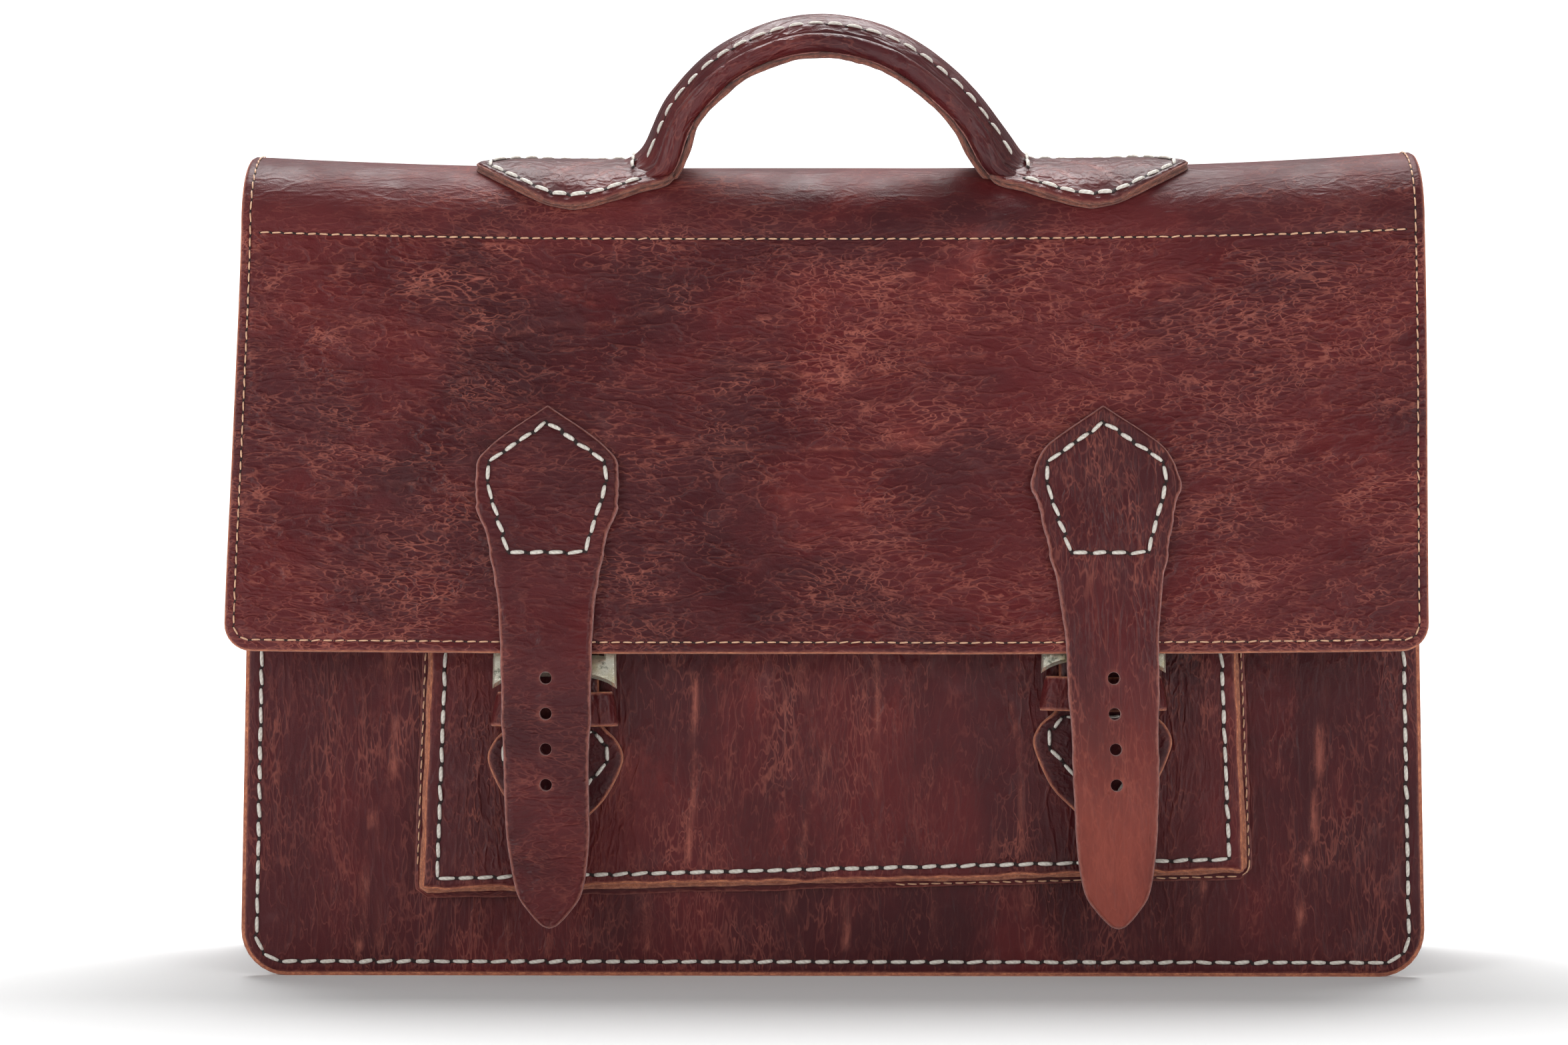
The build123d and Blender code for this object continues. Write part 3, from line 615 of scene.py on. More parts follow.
def leather(name, warmth=0.5, net=0.5, stretch=(1, 1, 1), creases=1.0, gloss=0.40, worn=0.35, shine=0.26,
            arched=False, tan_below=-1000.0):
    """Oiled pull-up leather: dark clouds, warm streaks, pale wrinkles, pressed folds, rubbed edges and pale
    grey patches of painted sheen.

    stretch squeezes the pattern's coordinates: wrinkles run along the axis with the small value.
    An arched hide is calmer where it is stretched over the arch. Below tan_below the dye has
    rubbed off and the tan of the hide comes through.
    """
    s = Shader(name)
    flat, border = s.attribute("flat"), s.split(s.attribute("border"))
    run = s.split(flat)["Y"]
    drawn = s.warped(s.scaled(flat, stretch), 0.03, 12.0)
    streaks = s.warped(s.scaled(flat, tuple(np.sqrt(stretch))), 0.03, 14.0)
    calm = s.math("MAXIMUM", s.ramp(run, -6.0, 6.0, 1.0, 0.5),
                  s.ramp(run, arch_length - 6, arch_length + 8, 0.5, 1.0)) if arched else 1.0

    colour = dye_colour(s, flat, streaks, warmth)
    wrinkles = WrinkleNet(s, flat, drawn, calm)
    colour = s.mix(s.times(wrinkles.lines, net), colour, VEIN)
    # border Y lightens the pressed folds; round a strap's holes it paints a pale ring, the highlight on their
    # raised rims
    folded = s.times(border["Y"], s.ramp(wrinkles.broken, 0.2, 0.9, 0.1, 0.75))
    colour = s.mix(folded, colour, VEIN)
    bare = s.ramp(run, tan_below - 70.0, tan_below, 0.75, 0.0)
    colour = s.mix(s.times(bare, s.ramp(wrinkles.broken, 0.0, 1.0, 0.7, 1.0)), colour, TAN_HIDE)
    # pale grey patches of painted sheen
    sheen_patches = s.ramp(s.noise(flat, 0.030, detail=5.0, roughness=0.6, distortion=1.0), 0.58, 0.80)
    colour = s.mix(s.times(sheen_patches, 0.10), colour, PAINTED_SHEEN)
    rub_noise = s.times(s.noise(flat, 0.45, detail=4.0), 1.6)
    rubbed = s.ramp(s.math("SUBTRACT", border["X"], rub_noise), -1.1, 0.1, 1.0, 0.0)
    colour = s.mix(s.times(rubbed, worn), colour, RUBBED_EDGE)

    normal = wrinkles.relief(s, flat, creases, s.times(calm, 0.7))
    sheen = s.ramp(s.noise(flat, 0.035, detail=4.0), 0.35, 0.65, gloss - 0.08, gloss + 0.12)
    stretched = s.times(s.math("SUBTRACT", 1.0, calm), 0.22)
    roughness = s.math("ADD", s.math("ADD", sheen, stretched), s.times(wrinkles.lines, 0.10))
    return s.finish(Base_Color=colour, Roughness=roughness, Normal=normal, Specular_IOR_Level=shine)


def raw_leather(name, base=RAW_EDGE, dark=RAW_DARK, darkness=0.45):
    """Cut edge or flesh side: fibres, darker burnished spots and loose fuzz."""
    s = Shader(name)
    flat = s.attribute("flat")
    fibres = s.noise(s.scaled(flat, (0.35, 0.35, 3.0)), 1.3, detail=6.0, roughness=0.75)
    spots = s.noise(flat, 0.16, detail=5.0, roughness=0.65)
    colour = s.mix(s.ramp(fibres, 0.35, 0.70), dark, base)
    colour = s.mix(s.times(s.ramp(spots, 0.48, 0.64), darkness), colour, dark)
    normal = s.bump(s.noise(flat, 0.7, detail=5.0, roughness=0.7), 0.35, 0.8)
    normal = s.bump(fibres, 0.16, 0.9, normal)
    return s.finish(Base_Color=colour, Roughness=0.85, Normal=normal, Sheen_Weight=0.25,
                    Sheen_Roughness=0.6, Specular_IOR_Level=0.25)


def suede(name):
    """Brushed lining with nap marks."""
    s = Shader(name)
    flat = s.attribute("flat")
    nap = s.noise(s.warped(flat, 0.03, 14.0), 0.05, detail=5.0, roughness=0.6)
    colour = s.mix(s.ramp(nap, 0.35, 0.68), srgb(112, 74, 56), srgb(158, 112, 86))
    fluff = s.noise(flat, 2.4, detail=6.0, roughness=0.8)
    colour = s.mix(s.times(s.ramp(fluff, 0.5, 0.7), 0.35), colour, srgb(176, 130, 102))
    normal = s.bump(fluff, 0.22, 0.8)
    return s.finish(Base_Color=colour, Roughness=0.93, Normal=normal, Sheen_Weight=0.5,
                    Sheen_Roughness=0.5, Specular_IOR_Level=0.15)


def thread(name, base, shade_and_dirt):
    """Waxed linen cord. flat holds: along the stitch, angle round it, and the stitch's number."""
    s = Shader(name)
    axes = s.split(s.attribute("flat"))
    phase = s.math("ADD", s.times(axes["X"], 3.4), s.times(axes["Y"], 2.0))
    ply = s.ramp(s.math("SINE", phase), -1.0, 1.0)
    dirt = s.noise(s.attribute("flat"), 0.8, detail=5.0)
    # darker in the grooves between the plies: painted shade
    colour = s.mix(s.times(s.math("SUBTRACT", 1.0, ply), 0.25), base, shade_and_dirt)
    # dirt specks take the same darker colour
    colour = s.mix(s.times(s.ramp(dirt, 0.45, 0.7), 0.45), colour, shade_and_dirt)
    normal = s.bump(ply, 0.09, 0.7)
    normal = s.bump(s.noise(s.attribute("flat"), 5.0, detail=3.0), 0.05, 0.6, normal)
    return s.finish(Base_Color=colour, Roughness=0.55, Normal=normal, Sheen_Weight=0.15)


def awl_hole_shade(name):
    """Dark painted shade of the pit that a stitch dips into."""
    s = Shader(name)
    speck = s.noise(s.attribute("flat"), 2.0, detail=3.0)
    # near-black colour: painted shade inside the awl hole
    colour = s.mix(speck, srgb(22, 12, 12), srgb(44, 22, 20))
    return s.finish(Base_Color=colour, Roughness=0.8, Normal=s.bump(speck, 0.1, 0.5))


def brass(name):
    """Polished brass with fine scratches and tarnish; dark green spots are painted on as reflections."""
    s = Shader(name)
    flat = s.attribute("flat")
    tarnish = s.ramp(s.noise(flat, 0.12, detail=5.0), 0.42, 0.72)
    spots = s.ramp(s.noise(flat, 0.16, detail=5.0, roughness=0.7), 0.52, 0.62)
    colour = s.mix(tarnish, srgb(250, 244, 224), srgb(226, 212, 168))
    # dark green spots: painted reflection of dark surroundings in the metal
    colour = s.mix(s.times(spots, 0.7), colour, srgb(72, 84, 58))
    scratches = s.noise(s.scaled(flat, (0.25, 5.0, 1.0)), 2.2, detail=4.0, roughness=0.7)
    normal = s.bump(s.noise(flat, 0.35, detail=2.0), 0.25, 0.35)
    normal = s.bump(scratches, 0.03, 0.6, normal)
    roughness = s.math("ADD", s.times(tarnish, 0.14), s.times(scratches, 0.22))
    return s.finish(Base_Color=colour, Metallic=0.75, Roughness=roughness, Normal=normal)


def board_material(name):
    """Pressed leather board inside the arch."""
    s = Shader(name)
    flakes = s.cell_edges(s.warped(s.attribute("flat"), 0.3, 2.0), 0.7)
    colour = s.mix(s.ramp(flakes, 0.0, 0.5), srgb(96, 66, 48), srgb(150, 112, 82))
    return s.finish(Base_Color=colour, Roughness=0.9, Normal=s.bump(flakes, 0.2, 0.7))


hide_flap = leather("hide_flap", warmth=0.54, net=0.66, stretch=(0.42, 1, 1), creases=1.2, arched=True)
hide_body = leather("hide_body", warmth=0.38, net=0.38, stretch=(1.0, 0.25, 1), creases=0.8, shine=0.22)
hide_pocket = leather("hide_pocket", warmth=0.54, net=0.42, stretch=(1, 0.30, 1), shine=0.24)
hide_side = leather("hide_side", warmth=0.35, net=0.35, stretch=(1, 0.6, 1))
hide_strap = leather("hide_strap", warmth=0.44, net=0.30, stretch=(0.35, 1, 1), worn=0.7)
hide_worn_strap = leather("hide_worn_strap", warmth=0.40, net=0.50, stretch=(1, 0.25, 1), worn=0.7,
                          tan_below=112.0)
hide_tab = leather("hide_tab", warmth=0.12, net=0.15, creases=0.7, worn=0.5)
hide_handle = leather("hide_handle", warmth=0.50, net=0.30, stretch=(0.3, 1, 1), gloss=0.34, shine=0.34)
hide_pad = leather("hide_pad", warmth=0.35, net=0.30, stretch=(0.8, 0.6, 1), gloss=0.42, shine=0.34)
raw = raw_leather("raw_edge")
raw_strap = raw_leather("raw_strap", srgb(186, 128, 120), srgb(122, 66, 60))
raw_handle = raw_leather("raw_handle", srgb(164, 100, 80), srgb(86, 46, 40), darkness=0.75)
lining_suede = suede("lining_suede")
white_thread = thread("white_thread", WHITE_THREAD, srgb(150, 136, 122))
tan_thread = thread("tan_thread", TAN_THREAD, srgb(170, 116, 86))
hole_shade = awl_hole_shade("awl_hole_shade")
metal = brass("brass")
board = board_material("board")


# ---- body: front panel, back, gusset ------------------------------------------------------------
def panel_half(up, full_height):
    """Half width of the front panel at a height."""
    return body_half_width - TOP_TAPER * up / full_height - corner_pull(up, BODY_CORNER)


def groove(distance, depth=0.45, width=1.3):
    """Trough that a row of stitches pulls into the leather."""
    return -depth * bell(distance, width)


# Upright creases in the front panel: x at the foot and at the head, height, sideways bow, depth.
FRONT_FOLDS = (
    (-164, -158, 60, -1, 0.40), (-158, -152, 150, 2, 0.28), (-114, -104, 62, 1, 0.42),
    (-104, -100, 150, 2, 0.22), (-64, -68, 48, 1, 0.30), (-12, -16, 75, 0, 0.42), (5, 2, 90, 1, 0.34),
    (34, 36, 40, 1, 0.20), (70, 66, 46, -1, 0.22), (126, 129, 66, 1, 0.30), (160, 170, 150, 4, 0.40))
# Creases in the back and in the flap: points (x, run) and depth.
BACK_FOLDS = (
    (((-120, 160), (-95, 240), (-110, 330)), 0.5), (((40, 190), (55, 260), (38, 345)), 0.45),
    (((128, 150), (118, 225), (131, 300)), 0.5), (((-30, 128), (20, 133), (90, 126)), 0.35))
FLAP_FOLDS = (
    (((-185, -30), (-120, -36), (-60, -28)), 0.40), (((-60, -70), (0, -77), (40, -72)), 0.40),
    (((-40, -46), (10, -50), (52, -44)), 0.35), (((120, -105), (150, -80), (186, -72)), 0.35),
    (((-180, -92), (-150, -88), (-112, -93)), 0.40), (((-25, -118), (-10, -100), (-22, -82)), 0.35),
    (((28, -8), (31, -34), (29, -60)), 0.30))


def front_wavy(x, up, away):
    """The front panel's face with its slow unevenness, calm under the pocket and at the rim."""
    rim = smooth(np.minimum(body_half_width - np.abs(x), up) / 25)
    return front_place(x, up, away + 0.6 * rim * rough(x, up, 60, seed=21, octaves=2))


def front_panel():
    """Front of the body, from under the flap down to the floor."""
    rows = corner_rows(FRONT_RIM, front_height, BODY_CORNER, COARSE_STEP)
    columns = grid_line(-1, 1, COARSE_STEP / body_half_width, EDGE_LINES)
    x, up = pattern(rows, lambda run: panel_half(run - FRONT_RIM, front_height) - 0.5, columns)
    side = np.minimum(panel_half(up, front_height) - np.abs(x), up)
    relief = groove(side - BODY_SEAM_INSET) + 0.12 * rough(x * 2, up * 0.5, 14, seed=11)
    lines = [([(foot, 9), ((foot + head) / 2 + lean, (top + 9) / 2), (head, top)], depth)
             for foot, head, top, lean, depth in FRONT_FOLDS]
    folded, folds = pressed(x, up, lines, 1.3)
    return sheet("front_panel_leather", x, up, front_wavy, 0.0, -LEATHER, [hide_body, raw, lining_suede],
                 relief=relief + folded, folds=folds, bulge=0.6)


def back_half(run):
    """Half width of the back, with its rounded lower corners."""
    rest = back_end - run
    return half_width - 1.0 * smooth(1 - rest / 250) - corner_pull(rest - BACK_RIM, BODY_CORNER)


def arch_creases(x, run):
    """Lengthwise streaks where the arch's leather is stretched over the board."""
    over = smooth((run - 4) / 12) * smooth((arch_length + 10 - run) / 20)
    return 0.06 * over * rough(x * 0.22, run, 7, seed=61)


def back_hide():
    """Rear of the arch and the whole back panel, in one piece of leather."""
    length = back_end - split_run
    rows = back_end - corner_rows(BACK_RIM, length - 0.15, BODY_CORNER, COARSE_STEP)[::-1]
    rows = np.concatenate([[split_run], rows])
    columns = grid_line(-1, 1, COARSE_STEP / half_width, EDGE_LINES)
    x, run = pattern(rows, back_half, columns)
    rest = back_end - run
    side = np.minimum(half_width - np.abs(x), rest)
    relief = groove(side - BODY_SEAM_INSET) * smooth((front_height - 8 - rest) / 4)
    relief = relief + groove(half_width - np.abs(x) - FLAP_SEAM_INSET, 0.25, 0.9) * smooth((rest - 250) / 8)
    relief = relief + 0.14 * rough(x, run, 16, seed=13) + arch_creases(x, run)
    folded, folds = pressed(x, run, BACK_FOLDS, 1.8)
    piece = sheet("back_leather", x, run, hide_place, 0.0, -LEATHER, [hide_flap, raw, lining_suede],
                  relief=relief + folded, folds=0.6 * folds, flush=lambda fx, frun: frun < split_run + 0.01)
    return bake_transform(piece)


GUSSET = 1.8                   # thickness
GUSSET_INSET = 9.5
GUSSET_FLANGE = 9.0            # width of the turned-out flanges under the panels' seams
GUSSET_CORNER = 7.0
GUSSET_DEPTH = 82.0            # nominal width of the gusset's wall
GUSSET_TOP = cad_high("gusset")[2]
gusset_section = Profile(((0, GUSSET_FLANGE), (0, 0), (GUSSET_DEPTH, 0), (GUSSET_DEPTH, GUSSET_FLANGE)))
gusset_half = body_half_width - GUSSET_INSET
gusset_path = Profile((
    (gusset_half - TOP_TAPER, GUSSET_TOP), (gusset_half, GUSSET_INSET + GUSSET_CORNER),
    (gusset_half - GUSSET_CORNER, GUSSET_INSET), (-gusset_half + GUSSET_CORNER, GUSSET_INSET),
    (-gusset_half, GUSSET_INSET + GUSSET_CORNER), (-gusset_half + TOP_TAPER, GUSSET_TOP)),
    soften=8.0, spacing=0.4)


def gusset_place(across, run, away):
    """On the gusset: across from the front flange to the back one, and away towards the outside."""
    q, out = gusset_section.at(across, away)
    _, z = gusset_path.at(run, 0)
    share = q / GUSSET_DEPTH
    dish = 9.0 * smooth((z - 40) / 190) * np.clip(1 - (2 * share - 1) ** 2, 0, 1) ** 1.5
    x, z = gusset_path.at(run, out - dish + 0.5 * rough(across, run, 40, seed=41, octaves=2))
    front = front_foot + LEATHER + GUSSET + z * tan(front_lean)
    back_lean = (back_foot - back_fold[1]) / fold_height
    back = back_foot - LEATHER - GUSSET - z * back_lean
    return x, front + share * (back - front), z


def gusset():
    """One strip for both sides and the bottom; its wall is dished inward and creased."""
    across = grid_line(0, gusset_section.end, 2.6)
    rows = grid_line(0, gusset_path.end, 3.0)
    c, run = np.meshgrid(across, rows)
    middle = gusset_section.end / 2
    relief = 0.15 * rough(c, run, 12, seed=43) - 0.5 * bell(c - middle, 2.0)
    return sheet("gusset_leather", c, run, gusset_place, 0.0, -GUSSET, [hide_side, raw, lining_suede],
                 relief=relief)


# ---- flap and arched top ------------------------------------------------------------------------
def flap_half(run):
    """Half width of the flap, with its rounded lower corners."""
    return half_width - 0.4 - corner_pull(run + flap_length, FLAP_CORNER)


def flap_wrinkles(x, run):
    """Folds in the oiled leather: long across the left half, a net of cells low on the right."""
    left = smooth((60 - x) / 120)
    sideways = 0.13 * np.abs(rough(x * 0.35, run, 9, seed=71)) * (0.35 + 0.65 * left)
    cells = 0.09 * np.abs(rough(x, run, 8, seed=75)) * (1 - 0.6 * left)
    return (0.1 - sideways - cells) * smooth((20 - run) / 30)


def bend_with_flap(piece):
    """Bake the piece's placement into its mesh; the piece already follows the arch above the front fold and
    the hanging flap below it.
    """
    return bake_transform(piece)


def flap_hide():
    """Hanging flap and front of the arch, in one piece of leather."""
    rows = corner_rows(-flap_length, split_run - 0.15, FLAP_CORNER, STEP)
    rows = np.concatenate([rows, [split_run]])
    columns = grid_line(-1, 1, STEP / half_width, EDGE_LINES)
    x, run = pattern(rows, flap_half, columns)
    side = np.minimum(half_width - np.abs(x), run + flap_length)
    relief = groove(side - FLAP_SEAM_INSET, 0.3, 0.9) + groove(run + 1.0, 0.35, 1.0)
    relief = relief + flap_wrinkles(x, run) + arch_creases(x, run)
    folded, folds = pressed(x, run, FLAP_FOLDS, 1.3)
    piece = sheet("flap_leather", x, run, hide_place, 0.0, -2.0, [hide_flap, raw, lining_suede],
                  relief=relief + folded, folds=0.45 * folds, bulge=0.25,
                  flush=lambda fx, frun: frun > split_run - 0.01)
    return bend_with_flap(piece)


HANGING_LINING_TOP = -2.05     # levels of the layers under the hide's outer skin
ARCH_LINING_TOP = -3.9
BOARD_TOP = -2.25
BOARD_UNDER = -3.85


def hide_layer(name, low, high, top, half):
    """Lining under the hide between two runs."""
    rows, columns = grid_line(low, high, 4.0), grid_line(-1, 1, 4.0 / half, (0.001, 0.003, 0.006))
    x, run = pattern(rows, lambda values: half - corner_pull(values + flap_length, FLAP_CORNER), columns)
    return sheet(name, x, run, hide_place, top, top - LINING, [lining_suede, raw, lining_suede],
                 relief=0.06 * rough(x, run, 6, seed=81))


def flap_lining():
    piece = hide_layer("flap_lining", -flap_length + 0.5, -1.0, HANGING_LINING_TOP, half_width - 0.9)
    return bend_with_flap(piece)


def arch_lining():
    return hide_layer("arch_lining", 0.5, arch_length - 1.5, ARCH_LINING_TOP, half_width - 1.0)


def stiffener():
    """Board between the arch's leather and its lining, under the handle."""
    low, high = cad_low("handle_stiffener"), cad_high("handle_stiffener")
    rows = grid_line(*np.interp((low[1], high[1]), hide_profile.y, hide_profile.run), 4.0)
    columns = grid_line(low[0], high[0], 4.0)
    x, run = np.meshgrid(columns, rows)
    return sheet("handle_board", x, run, hide_place, BOARD_TOP, BOARD_UNDER, [board] * 3,
                 relief=-0.04 * np.abs(rough(x, run, 6, seed=83)), bulge=0.2)


# ---- pocket -------------------------------------------------------------------------------------
POCKET_LEATHER = 2.2
POCKET_TAPER = 4.5             # each side comes in by this much at the top
POCKET_SEAM_INSET = 4.5
POCKET_FOOT_INSET = 3.1        # the seam runs closer to the lower edge
POCKET_BOTTOM_LEFT = 31.0      # the lower edge rises to the right
POCKET_BOTTOM_RIGHT = 38.0
pocket_left = cad_low("pocket_front")[0]
pocket_right = cad_high("pocket_front")[0]
pocket_top = cad_high("pocket_front")[2] / cos(front_lean)


def pocket_sides(up):
    """Left and right edge of the pocket's front at a height."""
    run = POCKET_TAPER * (up - POCKET_BOTTOM_LEFT) / (pocket_top - POCKET_BOTTOM_LEFT)
    return pocket_left + run, pocket_right - run


def pocket_bottom(x):
    share = (x - pocket_left) / (pocket_right - pocket_left)
    return POCKET_BOTTOM_LEFT + share * (POCKET_BOTTOM_RIGHT - POCKET_BOTTOM_LEFT)


# Upright creases in the pocket: x at the foot, sideways bow, height and depth.
POCKET_FOLDS = ((-100, 4, 124, 0.26), (-48, 2, 104, 0.34), (-10, 6, 120, 0.30), (17, -3, 112, 0.28),
                (64, 2, 96, 0.20))


def pocket_front():
    """Face of the patch pocket; its lower edge rises to the right."""
    rows = grid_line(0, 1, 0.011, (0.001, 0.004, 0.008))
    columns = grid_line(0, 1, 0.0055, (0.0006, 0.002, 0.004))
    k, w = np.meshgrid(columns, rows)
    x = pocket_left + k * (pocket_right - pocket_left)
    up = pocket_bottom(x) + w * (pocket_top - pocket_bottom(x))
    left, right = pocket_sides(up)
    x = left + k * (right - left) + ragged(up, 33) * (2 * k - 1)
    up = up - ragged(x, 35, 0.5) * (1 - w)
    side = np.minimum(x - left, right - x) - POCKET_SEAM_INSET
    seam = np.minimum(side, up - pocket_bottom(x) - POCKET_FOOT_INSET)
    relief = groove(seam, 0.5, 1.3) + 0.16 * rough(x, up, 12, seed=37)
    lines = [([(foot, 42), (foot + lean, 76), (foot - 1, top)], depth)
             for foot, lean, top, depth in POCKET_FOLDS]
    folded, folds = pressed(x, up, lines, 1.3)
    return sheet("pocket_leather", x, up, pocket_place, 0.0, -POCKET_LEATHER,
                 [hide_pocket, raw, lining_suede], relief=relief + folded, folds=folds)


POCKET_STRIP_DROP = 4.0        # the gusset ends this far below the mouth
POCKET_FLANGE = 4.4            # how far the flange shows outside the pocket
FLANGE_LEATHER = 1.3
FLANGE_SEAM_INSET = 1.3
POCKET_WALL = 1.5              # thickness, and the height where its foot meets the flange
pocket_path = Profile((
    (pocket_right - POCKET_TAPER, pocket_top - POCKET_STRIP_DROP), (pocket_right, POCKET_BOTTOM_RIGHT),
    (pocket_left, POCKET_BOTTOM_LEFT), (pocket_left + POCKET_TAPER, pocket_top - POCKET_STRIP_DROP)),
    soften=1.2, spacing=0.4)
flange_section = Profile(((-3, 0.05), (POCKET_FLANGE, 0.05)), soften=1.0, spacing=0.2)
wall_top = POCKET_DEPTH - POCKET_LEATHER - POCKET_WALL - 0.1
wall_section = Profile(((-3, wall_top), (-0.4, wall_top), (1.2, POCKET_WALL), (2.2, POCKET_WALL)),
                       soften=1.2, spacing=0.2)


def pocket_strip(name, section, thickness, materials, seed):
    """Strip of leather that runs round three sides of the pocket, with the given cross-section."""
    def place(across, run, away):
        out, height = section.at(across, away)
        x, up = pocket_path.at(run, out + 0.3 * rough(run, 0, 11, seed=seed) * smooth(out))
        return front_place(x, up, height)

    across = grid_line(0, section.end, 0.8, (0.1, 0.3, 0.6))
    rows = grid_line(0, pocket_path.end, 1.0)
    c, run = np.meshgrid(across, rows)
    return sheet(name, c, run, place, thickness, 0.0, materials,
                 relief=0.08 * rough(c, run, 5, seed=seed + 1), bulge=0.2)


def pocket_flange():
    return pocket_strip("pocket_flange", flange_section, FLANGE_LEATHER, [hide_pocket, raw, raw], 39)


def pocket_wall():
    return pocket_strip("pocket_wall", wall_section, POCKET_WALL, [raw, raw, raw], 45)


# ---- straps -------------------------------------------------------------------------------------
STRAP_THICKNESS = 3.5
STRAP_LIFT = 0.4               # gap between a strap and the flap
STRAP_BEND = 112.0             # height below which a strap hangs plumb
HOLE_RADIUS = 2.2
HOLE_PITCH = 12.15
HOLE_COUNT = 4
LOWEST_HOLE = 68.5

# Half width of a strap against height: tip, blade, waist and spade.
STRAP_HEIGHTS = (19.8, 20.3, 22.3, 25.7, 29.8, 38.3, 47.0, 60.0,
                 112.0, 124.0, 137.0, 157.5, 167.0, 172.0, 178.8, 184.5, 198.7)
STRAP_HALVES = (0.0, 1.8, 4.2, 7.1, 10.0, 12.3, 13.3, 13.9,
                15.2, 15.9, 17.4, 22.0, 24.3, 25.0, 24.0, 19.8, 0.0)
# Seam of a strap's spade: (across, height).
PENTAGON = ((0, 193.0), (20.0, 179.0), (20.4, 171.5), (13.2, 147.5),
            (-13.2, 147.5), (-20.4, 171.5), (-20.0, 179.0), (0, 193.0))
strap_edge = smooth_table(STRAP_HEIGHTS, STRAP_HALVES)


def strap_points():
    """Side view of a strap: plumb below its bend, then up along the flap."""
    top = STRAP_BEND + 100
    bend_y, top_y = (front_fold[1] - (fold_height - z) * tan(flap_slope) for z in (STRAP_BEND, top))
    return (bend_y, 0.0), (bend_y, STRAP_BEND), (top_y, top)


strap_profile = Profile(strap_points(), soften=14.0)


class Strap:
    """Strap of one side. Its pattern has x across the strap and run as the height along it.

    tilt turns it in degrees, curl twists its blade, and shift moves it sideways off its CAD place.
    """

    def __init__(self, side, tilt, curl, shift):
        self.side, self.slope, self.curl, self.shift = side, tan(radians(tilt)), curl, shift
        self.hinge = pivot("strap_" + side + "_lift")
        self.leather = hide_strap if side == "left" else hide_worn_strap

    def place(self, x, run, away):
        """The sewn end follows the flap; the blade hangs with a slight twist and a curled tip."""
        sewn = smooth((run - STRAP_BEND) / 30)
        centre = self.hinge[0] + self.shift - (run - self.hinge[2]) * self.slope
        flap_run = (run - fold_height) / cos(flap_slope)
        wave = sewn * flap_wave(centre + x, flap_run)
        free = smooth((STRAP_BEND - run) / 90)
        hang = free * (0.6 * self.curl * x / 14 + 1.2 * smooth((45 - run) / 30))
        hang = hang + 0.35 * rough(x, run, 30, seed=47)
        cup = 0.5 * (1 - (x / 16) ** 2) * smooth((150 - run) / 40)
        y, z = strap_profile.at(run, away + STRAP_LIFT + wave + hang * (1 - sewn) + cup)
        return centre + x + 0.9 * self.curl * free * np.sin(run / 19), y, z

    def half(self, run):
        return np.interp(run, *strap_edge)

    def holes(self):
        return [LOWEST_HOLE + k * HOLE_PITCH for k in range(HOLE_COUNT)]


HOLE_CELLS = 3                 # grid cells from a hole's centre to its edge
# Grid lines across a punched hole and just outside it, in radii.
HOLE_LINES = np.array((-2.4, -1.6, -1, -2 / 3, -1 / 3, 0, 1 / 3, 2 / 3, 1, 1.6, 2.4))


def lines_with_holes(low, high, step, centres, radius):
    """Grid lines along a strip, with seven lines over each hole and two more on each side of it."""
    blocks = [centre + HOLE_LINES * radius for centre in centres]
    result, last = [], low
    for block in blocks:
        gap = block[0] - last
        result += [np.linspace(last, block[0], max(2, int(gap / step) + 1))[:-1], block[:-1]]
        last = block[-1]
    tail = grid_line(last, high, step)
    return np.concatenate(result + [tail[3:] if len(tail) > 8 else tail])


def round_holes(x, run, centres, radius):
    """Pull the grid round each hole into circles; returns the new grid and the cells to cut."""
    gaps = np.zeros((x.shape[0] - 1, x.shape[1] - 1), bool)
    column = int(np.argmin(np.abs(x[x.shape[0] // 2])))
    offsets = range(-HOLE_CELLS - 1, HOLE_CELLS + 2)
    pulled = [(di, dj) for di in offsets for dj in offsets if max(abs(di), abs(dj)) >= HOLE_CELLS]
    for centre in centres:
        row = int(np.argmin(np.abs(run[:, column] - centre)))
        middle = x[row, column]
        gaps[row - HOLE_CELLS:row + HOLE_CELLS, column - HOLE_CELLS:column + HOLE_CELLS] = True
        for di, dj in pulled:
            at_edge = max(abs(di), abs(dj)) == HOLE_CELLS
            size, share = (radius, 1.0) if at_edge else (1.55 * radius, 0.6)
            angle = atan2(di, dj)
            at = row + di, column + dj
            x[at] += share * (middle + size * cos(angle) - x[at])
            run[at] += share * (centre + size * sin(angle) - run[at])
    return x, run, gaps


def strap_relief(strap, x, run):
    """Seam trough, embossed hole rims, a pressed line along the edge and wrinkles."""
    hold = run > STRAP_BEND + 20
    seam = np.where(hold, line_distance(x, run, PENTAGON), 50)
    relief = groove(seam, 0.55, 1.4)
    for centre in strap.holes():
        beyond = np.hypot(x, run - centre) - HOLE_RADIUS
        relief = relief + 0.3 * bell(beyond - 0.9, 0.7) - 0.25 * bell(beyond - 2.0, 0.6)
    free = smooth((STRAP_BEND + 15 - run) / 30)
    edge = strap.half(run) - np.abs(x)
    if strap.side == "left":
        relief = relief - 0.45 * free * bell(edge - 3.4, 0.8) * (x > 0)
        relief = relief - 0.30 * free * np.abs(rough(x * 0.3, run, 5, seed=51)) * smooth((80 - run) / 30)
    else:
        relief = relief - 0.40 * free * bell(edge - 3.2, 0.7)
        relief = relief - 0.28 * free * np.abs(rough(x, run * 0.25, 5, seed=53))
    return relief + 0.10 * rough(x, run, 7, seed=55)


def hole_rim_highlights(strap, x, run):
    """Mask of a pale ring painted round each hole as the highlight on its pressed-up rim."""
    return sum(bell(np.hypot(x, run - centre) - HOLE_RADIUS - 0.45, 0.5) for centre in strap.holes())


def bend_with_strap(piece, strap):
    """Bake the piece's placement into its mesh; the sewn end already follows the flap."""
    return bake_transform(piece)


